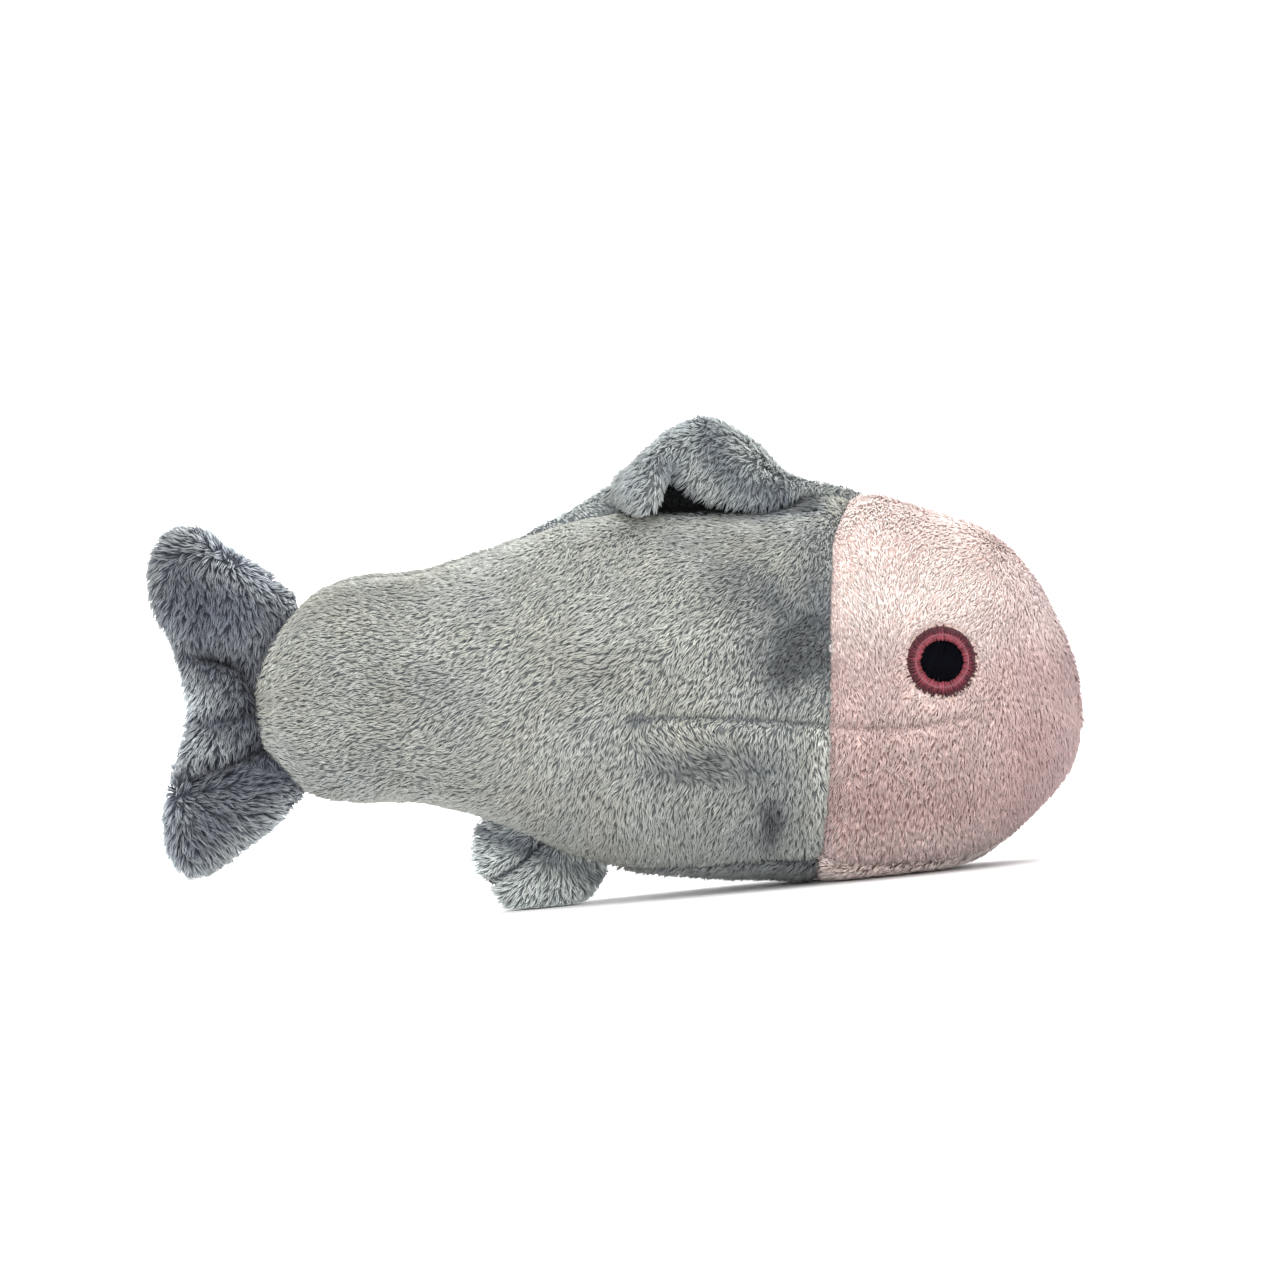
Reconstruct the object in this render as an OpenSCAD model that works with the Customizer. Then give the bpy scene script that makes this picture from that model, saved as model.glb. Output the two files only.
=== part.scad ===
// Plush shark: a small stuffed fish with sewn pile panels, a forked tail, a floppy dorsal fin and one pelvic fin.
// Frame: +X towards the nose, +Z up, the mirror plane of the body at y = 0. The toy stands on its chin and on its
// pelvic fin, both slightly flattened, on the plane z = 0. The origin is the middle of its footprint box.

/* [Body] */
// Length of the toy from the nose to the tail tips
toy_len = 180; // [150:5:220]
// Width of the body across its two flanks, at the neck seam
body_w = 56; // [46:1:64]
// Squareness of the body's cross-section: 2 is an ellipse
body_n = 2.3; // [2:0.1:3]
// Thickness of one sewn panel, its pile included
panel_t = 2.4; // [1.6:0.2:3.2]
// Nose-down lean of the body when it stands
stand_tilt = 5.5; // [4:0.5:7]
// Depth by which the chin and the pelvic fin are flattened by the toy's weight
rest_flat = 1.4; // [0.8:0.1:1.8]

/* [Eyes] */
// Outer diameter of the embroidered eye ring
eye_d = 13.4; // [9:0.2:15]
// Diameter of the embroidered pupil
pupil_d = 7.8; // [4:0.2:9]
// Height of the satin stitching over the cloth it is sewn on
eye_h = 0.9; // [0.5:0.1:1.2]

/* [Fins] */
// Extra half thickness of stuffing in the middle of each tail lobe
tail_fill = 2.6; // [1.2:0.2:3.4]
// Extra half thickness of stuffing in the dorsal fin
dorsal_fill = 0.9; // [0.5:0.1:1.1]
// Extra half thickness of stuffing in the pelvic fin
pelvic_fill = 1.8; // [0.8:0.1:2.4]
// Gap between the tail's sewn edge and the rounded end of the body
tail_gap = 1.8; // [1.2:0.2:3]

/* [Sewing] */
// Diameter of the seam thread, loosely lying
thread_d = 0.6; // [0.4:0.1:0.9]
// Gap between the stuffing and the cloth around it
fill_gap = 0.2; // [0.1:0.1:0.5]

/* [Hidden] */

GREY = [0.62, 0.64, 0.63];
DARK_GREY = [0.45, 0.47, 0.49];
PINK = [0.87, 0.78, 0.75];
RED = [0.55, 0.25, 0.29];
BLACK = [0.05, 0.05, 0.08];
WHITE = [0.93, 0.93, 0.91];

k = toy_len / 180;             // every outline below is drawn for a 180 mm toy
kw = body_w / 56;              // and for a 56 mm wide body
x0 = -0.05 * k;                // puts the middle of the footprint box on the origin
z0 = 39.8 * k - rest_flat;     // height of the body's axis over the plane that it stands on
SUB = 2;                       // stations per row of a table
FLANK_M = 13;                  // steps from the back seam down to the belly seam
GUSSET_M = 6;                  // steps across a gusset
NECK = 14;                     // the row where the head is sewn on
GUSSET_A = 10;                  // the rows where the gussets begin and end
GUSSET_B = 19;

// Rows along the body: x, height of the back, height of the belly, half width, half angle of the gusset.
BODY = [
    [-70, 0.5, -0.5, 0.3, 0], [-69.6, 3, -3.6, 1.8, 0], [-68.6, 6.4, -7.6, 3.6, 0], [-66.5, 10.5, -11, 6, 0], [-62.5, 16, -14.8, 8.2, 0],
    [-57.5, 20, -18, 10, 0], [-50, 22.8, -19.2, 12, 0], [-38, 25, -19.6, 14.5, 0], [-26, 28, -22.3, 18, 0],
    [-14, 32.5, -27.3, 21.5, 0], [-3, 35.6, -31.4, 24, 0.6], [8, 36.6, -33.2, 26, 12], [20, 37.2, -34, 27.2, 21],
    [32, 38.2, -34.4, 28, 27], [41, 39.2, -34.8, 28.2, 30], [50, 39.2, -35.2, 27.8, 29], [60, 37.2, -33.9, 26.6, 25],
    [69, 34.6, -30.9, 24, 18], [76, 30.2, -26.4, 20.5, 10], [82, 22.5, -21, 15.5, 0.6], [86.5, 13, -16, 10, 0],
    [88.8, 6, -12.2, 5.6, 0], [89.7, 1.5, -8, 2.8, 0], [90, -2.4, -3.4, 0.3, 0]
];

// Rows down the tail: height, its trailing edge, its leading edge.
TAIL = [
    [33.2, -84.5, -80], [31, -88.2, -76.5], [27.5, -89.8, -71.5], [23, -90, -66.5], [19.5, -89.6, -63.6],
    [15, -88.3, -64.2], [10, -86.4, -68.4], [5, -84.2, -70.8], [0, -82.4, -71.8], [-5, -82.8, -71.2], [-10, -84, -69],
    [-14.5, -84.9, -65.2], [-18.5, -85.8, -61.8], [-22, -86.7, -63.2], [-26, -87.2, -67.2], [-30.5, -86.3, -73],
    [-34, -82.6, -78.4]
];

// Rows along the dorsal fin: x, height of its fold, height of its free edge, how far the free edge hangs to the right.
DORSAL = [
    [-5, 39.6, 38.2, 1.5], [-1, 43, 38.6, 6], [3, 46.5, 38.6, 9], [7, 50, 39.4, 9.5], [11, 52.8, 42, 9], [15, 54.2, 42, 9],
    [19, 53.6, 41, 9], [24, 51.5, 39.8, 9.5], [29, 48.2, 39.8, 9], [34, 45, 40.4, 6.5], [38, 43.6, 41.8, 3], [42, 42.8, 41.8, 1.5]
];

// Rows along the pelvic fin: the root's x and height, the free edge's x and height.
PELVIC = [
    [-21.5, -26.6, -25, -28.2], [-19.5, -27.4, -26, -32.4], [-16.5, -28.5, -23.5, -37.4], [-13.5, -29.7, -18.2, -40.8],
    [-10, -31, -12.6, -41.4], [-7, -32, -7.6, -40], [-4, -33, -3.8, -37.2], [-1.5, -33.8, -0.2, -35]
];

// The dart on each side: x and height along the sewn line.
DART = [[4, -2.7], [14, -3], [24, -3.7], [33, -4.6], [41, -5], [50, -5], [59, -4.6], [66, -3]];
EYE = [62.9, 7.3];

// ---- curves ----
function cr(a, b, c, d, t) = 0.5 * (2 * b + (c - a) * t + (2 * a - 5 * b + 4 * c - d) * t * t + (3 * b - a - 3 * c + d) * t * t * t);
function spline(T, n) = [
    for (i = [0 : len(T) - 2]) for (j = [0 : n - 1])
        cr(T[max(i - 1, 0)], T[i], T[i + 1], T[min(i + 2, len(T) - 1)], j / n),
    T[len(T) - 1]
];
function unit(v) = v / max(norm(v), 1e-9);
function flat(G) = [for (row = G) for (p = row) p];

// From the body's own axes to the frame in which it stands. Nothing goes below lo.
function place(p, lo = 0) = let (
    q = [p.x * k * cos(stand_tilt) + p.z * k * sin(stand_tilt) + x0, p.y, z0 - p.x * k * sin(stand_tilt) + p.z * k * cos(stand_tilt)]
) [q.x, q.y, max(q.z, lo)];

// ---- body surface ----
// Only the rows between the gusset's ends have a gusset.
STATIONS = [for (i = [0 : (len(BODY) - 1) * SUB]) let (r = spline(BODY, SUB)[i])
    [r[0], r[1], r[2], r[3], i < GUSSET_A * SUB || i > GUSSET_B * SUB ? 0 : max(r[4], 0.4)]];
function pw(v) = pow(abs(v), 2 / body_n);
// A point of one station at angle a (90 is the back, -90 the belly), side -1 right or 1 left, off below the pile's surface.
function skin(r, a, side, off) = let (
    x = 10 + (r[0] - 10) * (1 - off / (80 * k)), mid = (r[1] + r[2]) / 2,
    h = max((r[1] - r[2]) / 2 - off / k, 0.3), w = max(r[3] * kw * k - off, 0.25)
) place([x, side * w * pw(cos(a)), mid + h * sign(sin(a)) * pw(sin(a))], off);
function edge(r) = -90 + r[4];

function side_grid(i0, i1, side, off) = [
    for (i = [i0 : i1]) [for (j = [0 : FLANK_M]) skin(STATIONS[i], 90 + (edge(STATIONS[i]) - 90) * j / FLANK_M, side, off)]
];
function gusset_grid(i0, i1, off) = [
    for (i = [i0 : i1]) [for (j = [-GUSSET_M / 2 : GUSSET_M / 2])
        skin(STATIONS[i], -90 + STATIONS[i][4] * abs(j) * 2 / GUSSET_M, j < 0 ? -1 : 1, off)]
];

// Half width of the body at x and height z, off below its surface.
function across(x, z, off) = let (
    top = lookup(x, [for (r = STATIONS) [r[0], r[1]]]), bottom = lookup(x, [for (r = STATIONS) [r[0], r[2]]]),
    w = lookup(x, [for (r = STATIONS) [r[0], r[3]]]) * kw * k - off, h = (top - bottom) / 2 - off / k,
    s = min(abs(z - (top + bottom) / 2) / h, 0.999)
) w * pow(1 - pow(s, body_n), 1 / body_n);
function flank(x, z, side, off) = [x, side * across(x, z, off), z];

// ---- solids from grids ----
// A closed solid between two grids of points with the same size. turn swaps its faces' winding.
module slab(A, B, turn = false) {
    n = len(A); m = len(A[0]); o = n * m;
    function at(i, j) = i * m + j;
    faces = concat(
        [for (i = [0 : n - 2]) for (j = [0 : m - 2]) [at(i, j), at(i + 1, j), at(i + 1, j + 1)]],
        [for (i = [0 : n - 2]) for (j = [0 : m - 2]) [at(i, j), at(i + 1, j + 1), at(i, j + 1)]],
        [for (i = [0 : n - 2]) for (j = [0 : m - 2]) [o + at(i, j), o + at(i + 1, j + 1), o + at(i + 1, j)]],
        [for (i = [0 : n - 2]) for (j = [0 : m - 2]) [o + at(i, j), o + at(i, j + 1), o + at(i + 1, j + 1)]],
        [for (i = [0 : n - 2]) for (w = [0, 1]) w == 0
            ? [at(i, 0), o + at(i + 1, 0), at(i + 1, 0)] : [at(i, 0), o + at(i, 0), o + at(i + 1, 0)]],
        [for (i = [0 : n - 2]) for (w = [0, 1]) w == 0
            ? [at(i, m - 1), at(i + 1, m - 1), o + at(i + 1, m - 1)] : [at(i, m - 1), o + at(i + 1, m - 1), o + at(i, m - 1)]],
        [for (j = [0 : m - 2]) for (w = [0, 1]) w == 0
            ? [at(0, j), at(0, j + 1), o + at(0, j + 1)] : [at(0, j), o + at(0, j + 1), o + at(0, j)]],
        [for (j = [0 : m - 2]) for (w = [0, 1]) w == 0
            ? [at(n - 1, j), o + at(n - 1, j + 1), at(n - 1, j + 1)] : [at(n - 1, j), o + at(n - 1, j), o + at(n - 1, j + 1)]]
    );
    polyhedron(concat(flat(A), flat(B)), turn ? [for (f = faces) [f[2], f[1], f[0]]] : faces, convexity = 6);
}

// A closed tube through rings of points.
module rings(R, turn = false) {
    n = len(R); m = len(R[0]);
    faces = concat(
        [for (i = [0 : n - 2]) for (j = [0 : m - 1]) [i * m + j, i * m + (j + 1) % m, (i + 1) * m + (j + 1) % m]],
        [for (i = [0 : n - 2]) for (j = [0 : m - 1]) [i * m + j, (i + 1) * m + (j + 1) % m, (i + 1) * m + j]],
        [[for (j = [m - 1 : -1 : 0]) j]], [[for (j = [0 : m - 1]) (n - 1) * m + j]]
    );
    polyhedron(flat(R), turn ? [for (f = faces) [for (q = [len(f) - 1 : -1 : 0]) f[q]]] : faces, convexity = 6);
}

// A thread along points. up is a direction that the thread never runs in.
module thread(P, up, d = thread_d) {
    n = len(P);
    rings([
        for (i = [0 : n - 1]) let (
            t = unit(P[min(i + 1, n - 1)] - P[max(i - 1, 0)]), u = unit(cross(t, up)), v = cross(t, u)
        ) [for (a = [0 : 60 : 300]) P[i] + d / 2 * (cos(a) * u + sin(a) * v)]
    ]);
}

// ---- body panels ----
module flank_panel(side) {
    color(GREY) slab(side_grid(0, NECK * SUB, side, 0), side_grid(0, NECK * SUB, side, panel_t), side > 0);
}
module head_panel(side) {
    last = len(STATIONS) - 1;
    color(PINK) slab(side_grid(NECK * SUB, last, side, 0), side_grid(NECK * SUB, last, side, panel_t), side > 0);
}
module belly_gusset() {
    color(DARK_GREY) slab(gusset_grid(GUSSET_A * SUB, NECK * SUB, 0), gusset_grid(GUSSET_A * SUB, NECK * SUB, panel_t), true);
}
module chin_gusset() {
    color(PINK) slab(gusset_grid(NECK * SUB, GUSSET_B * SUB, 0), gusset_grid(NECK * SUB, GUSSET_B * SUB, panel_t), true);
}
module body_filling() {
    off = panel_t + fill_gap;
    color(WHITE) rings([
        for (i = [0 : SUB : len(STATIONS) - 1]) concat(
            [for (a = [90 : -20 : -70]) skin(STATIONS[i], a, -1, off)],
            [for (a = [-90 : 20 : 70]) skin(STATIONS[i], a, 1, off)])
    ]);
}

// ---- seams of the body ----
SEAM_OFF = panel_t * 0.5;
module neck_seam_thread() {
    r = STATIONS[NECK * SUB];
    color(GREY) thread(concat(
        [for (a = [88 : -11 : -88]) skin(r, a, -1, SEAM_OFF)],
        [for (a = [-88 : 11 : 77]) skin(r, a, 1, SEAM_OFF)]), [1, 0, 0]);
}
module back_seam_thread() {
    color(GREY) thread([for (i = [1 : len(STATIONS) - 2]) skin(STATIONS[i], 90, -1, SEAM_OFF)], [0, 1, 0]);
}
module belly_seam_threads() {
    color(GREY) for (side = [-1, 1])
        thread([for (i = [GUSSET_A * SUB + 1 : 2 : GUSSET_B * SUB - 1]) skin(STATIONS[i], edge(STATIONS[i]), side, SEAM_OFF)], [0, 1, 0]);
}
module dart_threads() {
    color(GREY) for (side = [-1, 1])
        thread([for (p = spline(DART, 2)) place(flank(p.x, p.y, side, SEAM_OFF))], [0, 1, 0]);
}
// Ladder stitches that close the belly seam behind the pelvic fin, where the stuffing went in.
module closing_stitches() {
    color(GREY) for (x = [-50 : 4 : -34]) let (
        r = lookup(x, [for (r = STATIONS) [r[0], r[2]]]), p = place([x, 0, r])
    ) translate([p.x, 0, p.z + 1.5]) rotate([90, 0, 0]) cylinder(d = thread_d, h = 3, center = true, $fn = 24);
}

// ---- eyes, sewn on the head panels ----
module on_head(side) {
    P = flank(EYE.x, EYE.y, side, 0);
    dx = flank(EYE.x + 2, EYE.y, side, 0) - flank(EYE.x - 2, EYE.y, side, 0);
    dz = flank(EYE.x, EYE.y + 2, side, 0) - flank(EYE.x, EYE.y - 2, side, 0);
    n = unit(cross(dz, dx) * side);
    u = unit(cross([0, 0, 1], n)); v = cross(n, u);
    translate([x0, 0, z0]) rotate([0, stand_tilt, 0])
        multmatrix([[u.x, v.x, n.x, P.x * k], [u.y, v.y, n.y, P.y], [u.z, v.z, n.z, P.z * k], [0, 0, 0, 1]]) children();
}
module satin(r1, r2) {
    // A padded ring or dot of satin stitches, with rounded edges.
    rotate_extrude($fn = 64) if (r1 > 0)
        polygon([[r1, -1.2], [r2, -1.2], [r2, eye_h * 0.35], [r2 - 0.5, eye_h * 0.85], [(r1 + r2) / 2, eye_h], [r1 + 0.5, eye_h * 0.85], [r1, eye_h * 0.35]]);
    else
        polygon([[0, -1.2], [r2, -1.2], [r2, eye_h * 0.35], [r2 - 0.5, eye_h * 0.85], [0, eye_h]]);
}
module eye_ring(side) { color(RED) on_head(side) satin(pupil_d / 2 + 0.05, eye_d / 2); }
module eye_pupil(side) { color(BLACK) on_head(side) satin(0, pupil_d / 2 - 0.05); }
module eye_backing(side) {
    color(WHITE) on_head(side) translate([0, 0, -panel_t - 0.7]) cylinder(d = eye_d + 4, h = 0.4, $fn = 48);
}

// ---- fins: a slab on each side of a middle surface ----
function swell(u, v) = pow(max(sin(180 * u), 0) * max(sin(180 * v), 0), 0.6);

TAIL_ROWS = spline(TAIL, 2);
TAIL_M = 9;
function tail_pt(i, j, y) = let (r = TAIL_ROWS[i], lead = r[2] - (abs(r[0]) < 19 ? tail_gap - 1.8 : 0))
    place([r[1] + (lead - r[1]) * j / TAIL_M, y, r[0]]);
function tail_d(i, j) = tail_fill * k * swell(j / TAIL_M, i / (len(TAIL_ROWS) - 1)) * (0.45 + 0.55 * abs(TAIL_ROWS[i][0]) / 30);
function tail_grid(side, off) = [for (i = [0 : len(TAIL_ROWS) - 1]) [for (j = [0 : TAIL_M])
    tail_pt(i, j, side * (tail_d(i, j) + off * (0.5 + 0.5 * swell(j / TAIL_M, i / (len(TAIL_ROWS) - 1)))))]];
module tail_panel(side) { color(GREY) slab(tail_grid(side, panel_t), tail_grid(side, 0), side < 0); }
module tail_filling() {
    function inner(side) = [for (i = [2 : len(TAIL_ROWS) - 3]) [for (j = [1 : TAIL_M - 1]) tail_pt(i, j, side * max(tail_d(i, j) - fill_gap, 0.05))]];
    color(WHITE) slab(inner(1), inner(-1));
}
module tail_edge_thread() {
    color(GREY) thread([for (i = [1 : len(TAIL_ROWS) - 2]) tail_pt(i, 0.5, 0)], [0, 1, 0]);
}

DORSAL_ROWS = spline(DORSAL, 2);
DORSAL_M = 14;
DORSAL_H = 2.4;                // height at which the fin's solids begin, over the back seam
DORSAL_T = panel_t * 0.5;      // the pile lies flat on the fin
// The middle surface: up from the back seam, over the fold and down on the right.
function dorsal_mid(r, t) = let (
    base = lookup(r[0], [for (q = STATIONS) [q[0], q[1]]]) + DORSAL_H / k,
    crest = max(r[1] - (DORSAL_T + dorsal_fill) / k, base + 0.5), end = max(min(r[2], crest), base - 1.5),
    h = (crest - 0.125 * (base + end)) / 0.75, m = 0.15 * r[3],
    a = pow(1 - t, 3), b = 3 * pow(1 - t, 2) * t, c = 3 * (1 - t) * t * t, d = pow(t, 3)
) [r[0], (b * m - c * (r[3] + m) - d * r[3]) * k, a * base + (b + c) * h + d * end];
function dorsal_pt(i, j, d) = let (
    r = DORSAL_ROWS[i], t = j / DORSAL_M, e = dorsal_mid(r, min(t + 0.04, 1)) - dorsal_mid(r, max(t - 0.04, 0)),
    n = unit([0, -e.z, e.y / k]), p = dorsal_mid(r, t)
) place([p.x, p.y + n.y * d, p.z + n.z * d / k]);
function dorsal_d(i, j) = dorsal_fill * swell(j / DORSAL_M, i / (len(DORSAL_ROWS) - 1));
function dorsal_grid(side, off) = [for (i = [0 : len(DORSAL_ROWS) - 1]) [for (j = [0 : DORSAL_M])
    dorsal_pt(i, j, side * (dorsal_d(i, j) + off * (0.6 + 0.4 * swell(j / DORSAL_M, i / (len(DORSAL_ROWS) - 1)))))]];
module dorsal_panel(side) { color(GREY) slab(dorsal_grid(side, DORSAL_T), dorsal_grid(side, 0), side > 0); }
module dorsal_filling() {
    function inner(side) = [for (i = [2 : len(DORSAL_ROWS) - 3]) [for (j = [1 : DORSAL_M - 1]) dorsal_pt(i, j, side * max(dorsal_d(i, j) - fill_gap, 0.05))]];
    color(WHITE) slab(inner(1), inner(-1), true);
}
module dorsal_edge_thread() {
    color(GREY) thread([for (i = [1 : len(DORSAL_ROWS) - 2]) dorsal_pt(i, DORSAL_M - 0.5, 0)], [0, 1, 0]);
}

PELVIC_ROWS = spline(PELVIC, 2);
PELVIC_M = 7;
function pelvic_pt(i, j, y) = let (r = PELVIC_ROWS[i], t = j / PELVIC_M)
    place([r[0] + (r[2] - r[0]) * t, y, r[1] + (r[3] - r[1]) * t]);
function pelvic_d(i, j) = pelvic_fill * k * swell(0.08 + 0.92 * j / PELVIC_M, i / (len(PELVIC_ROWS) - 1));
function pelvic_grid(side, off) = [for (i = [0 : len(PELVIC_ROWS) - 1]) [for (j = [0 : PELVIC_M])
    pelvic_pt(i, j, side * (pelvic_d(i, j) + off * (0.6 + 0.4 * swell(j / PELVIC_M, i / (len(PELVIC_ROWS) - 1)))))]];
PELVIC_T = panel_t * 0.85;
module pelvic_panel(side) { color(GREY) slab(pelvic_grid(side, PELVIC_T), pelvic_grid(side, 0), side > 0); }
module pelvic_filling() {
    function inner(side) = [for (i = [2 : len(PELVIC_ROWS) - 3]) [for (j = [1 : PELVIC_M - 1]) pelvic_pt(i, j, side * max(pelvic_d(i, j) - fill_gap, 0.05))]];
    color(WHITE) slab(inner(1), inner(-1), true);
}
module pelvic_edge_thread() {
    color(GREY) thread([for (i = [2 : len(PELVIC_ROWS) - 3]) let (p = pelvic_pt(i, PELVIC_M - 0.7, 0)) [p.x, 0, max(p.z, 0.8)]], [0, 1, 0]);
}

flank_panel(-1);  // flank_panel_right
flank_panel(1);  // flank_panel_left
head_panel(-1);  // head_panel_right
head_panel(1);  // head_panel_left
belly_gusset();
chin_gusset();
body_filling();
neck_seam_thread();
back_seam_thread();
belly_seam_threads();
dart_threads();
closing_stitches();
eye_ring(-1);  // eye_ring_right
eye_ring(1);  // eye_ring_left
eye_pupil(-1);  // eye_pupil_right
eye_pupil(1);  // eye_pupil_left
eye_backing(-1);  // eye_backing_right
eye_backing(1);  // eye_backing_left
tail_panel(-1);  // tail_panel_right
tail_panel(1);  // tail_panel_left
tail_filling();
tail_edge_thread();
dorsal_panel(1);  // dorsal_panel_right
dorsal_panel(-1);  // dorsal_panel_left
dorsal_filling();
dorsal_edge_thread();
pelvic_panel(-1);  // pelvic_panel_right
pelvic_panel(1);  // pelvic_panel_left
pelvic_filling();
pelvic_edge_thread();
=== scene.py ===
import math

import bpy
import numpy as np
from mathutils import Matrix, Vector
from mathutils.kdtree import KDTree


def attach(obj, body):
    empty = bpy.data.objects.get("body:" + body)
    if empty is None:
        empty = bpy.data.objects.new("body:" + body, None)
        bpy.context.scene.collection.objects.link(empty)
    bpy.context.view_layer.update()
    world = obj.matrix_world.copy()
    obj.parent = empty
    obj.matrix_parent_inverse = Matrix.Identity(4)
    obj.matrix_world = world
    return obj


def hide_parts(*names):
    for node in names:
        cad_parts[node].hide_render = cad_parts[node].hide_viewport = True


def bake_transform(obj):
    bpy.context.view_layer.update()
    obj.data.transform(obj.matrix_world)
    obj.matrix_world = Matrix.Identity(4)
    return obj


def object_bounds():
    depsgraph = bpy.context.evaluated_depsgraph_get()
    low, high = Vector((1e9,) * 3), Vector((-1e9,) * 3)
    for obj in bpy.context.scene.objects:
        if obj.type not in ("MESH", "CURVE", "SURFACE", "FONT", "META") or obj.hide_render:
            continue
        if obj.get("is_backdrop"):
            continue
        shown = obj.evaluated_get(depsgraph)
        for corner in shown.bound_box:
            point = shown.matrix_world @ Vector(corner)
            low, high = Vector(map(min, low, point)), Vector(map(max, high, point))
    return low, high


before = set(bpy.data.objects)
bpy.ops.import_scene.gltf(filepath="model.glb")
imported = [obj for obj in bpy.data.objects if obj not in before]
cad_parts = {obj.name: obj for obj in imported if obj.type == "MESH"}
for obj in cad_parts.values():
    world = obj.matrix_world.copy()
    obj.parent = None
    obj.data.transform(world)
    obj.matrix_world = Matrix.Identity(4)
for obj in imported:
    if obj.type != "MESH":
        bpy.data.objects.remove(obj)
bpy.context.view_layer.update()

rng = np.random.default_rng(11)

# ---------------------------------------------------------------- the toy's own axes
# Lengths are in millimetres in the toy's own axes (nose +X, back +Z), and go to the row frame in place().
TILT = math.radians(5.5)
CT, ST = math.cos(TILT), math.sin(TILT)
X0, Z0 = -0.05, 38.4


def place(p):
    p = np.asarray(p, float)
    x, y, z = p[..., 0], p[..., 1], p[..., 2]
    return np.stack([x * CT + z * ST + X0, y, Z0 - x * ST + z * CT], -1) / 1000.0


def place_dir(p):
    p = np.asarray(p, float)
    x, y, z = p[..., 0], p[..., 1], p[..., 2]
    return np.stack([x * CT + z * ST, y, -x * ST + z * CT], -1)


def rest_on_floor(p, lo):
    """Flattens what would go under the floor, softly, in the row frame, in metres."""
    q = p.copy()
    k = 0.0012
    z = q[..., 2] - lo
    q[..., 2] = lo + np.where(z > k, z, np.where(z < -k, 0.0, (z + k) ** 2 / (4 * k)))
    return q


# ---------------------------------------------------------------- small maths
_perm = np.random.default_rng(3).permutation(256)
_perm = np.concatenate([_perm, _perm, _perm])
_grad = np.random.default_rng(4).normal(size=(256, 3))
_grad /= np.linalg.norm(_grad, axis=1)[:, None]


def noise(p, scale, seed=0):
    """Gradient noise of points in mm, with features about scale mm wide, from about -1 to 1."""
    q = np.asarray(p, float).reshape(-1, 3) / scale + seed * 17.31 + 100.0
    i = np.floor(q).astype(int)
    f = q - i
    w = f * f * f * (f * (f * 6 - 15) + 10)
    out = np.zeros(len(q))
    for dx in (0, 1):
        for dy in (0, 1):
            for dz in (0, 1):
                h = _perm[(_perm[(_perm[(i[:, 0] + dx) & 255] + i[:, 1] + dy) & 255] + i[:, 2] + dz) & 255]
                g = _grad[h]
                d = g[:, 0] * (f[:, 0] - dx) + g[:, 1] * (f[:, 1] - dy) + g[:, 2] * (f[:, 2] - dz)
                out += d * (w[:, 0] if dx else 1 - w[:, 0]) * (w[:, 1] if dy else 1 - w[:, 1]) * (w[:, 2] if dz else 1 - w[:, 2])
    return (out * 1.6).reshape(np.asarray(p).shape[:-1])


def unit(v):
    return v / np.maximum(np.linalg.norm(v, axis=-1, keepdims=True), 1e-9)


def bump(s, depth, width):
    return depth * np.exp(-((s / width) ** 2))


def smooth(a, b, x):
    t = np.clip((np.asarray(x, float) - a) / (b - a), 0, 1)
    return t * t * (3 - 2 * t)


def spline(rows, n):
    rows = np.asarray(rows, float)
    out = []
    m = len(rows)
    for i in range(m - 1):
        a, b, c, d = rows[max(i - 1, 0)], rows[i], rows[i + 1], rows[min(i + 2, m - 1)]
        for j in range(n):
            t = j / n
            out.append(0.5 * (2 * b + (c - a) * t + (2 * a - 5 * b + 4 * c - d) * t * t + (3 * b - a - 3 * c + d) * t ** 3))
    out.append(rows[-1])
    return np.array(out)


def resample(rows, length, step, must=()):
    """Rows again, at about even steps of length, keeping the rows whose index is in must."""
    stops = [0] + sorted(must) + [len(rows) - 1]
    picks = []
    for a, b in zip(stops[:-1], stops[1:]):
        n = max(1, int(round((length[b] - length[a]) / step)))
        at = np.linspace(length[a], length[b], n + 1)
        part = np.stack([np.interp(at, length, rows[:, k]) for k in range(rows.shape[1])], 1)
        picks.append(part if not picks else part[1:])
    return np.concatenate(picks)


def polyline_distance(x, z, line):
    """Distance of points to a polyline in a plane, and how far along it, from 0 to 1."""
    line = np.asarray(line, float)
    best = np.full(np.shape(x), 1e9)
    along = np.zeros(np.shape(x))
    seg = np.linalg.norm(line[1:] - line[:-1], axis=1)
    run = np.concatenate([[0], np.cumsum(seg)])
    for k in range(len(line) - 1):
        a, b = line[k], line[k + 1]
        d = b - a
        t = np.clip(((x - a[0]) * d[0] + (z - a[1]) * d[1]) / (d @ d), 0, 1)
        r = np.hypot(x - a[0] - t * d[0], z - a[1] - t * d[1])
        near = r < best
        best = np.where(near, r, best)
        along = np.where(near, (run[k] + t * seg[k]) / run[-1], along)
    return best, along


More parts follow.
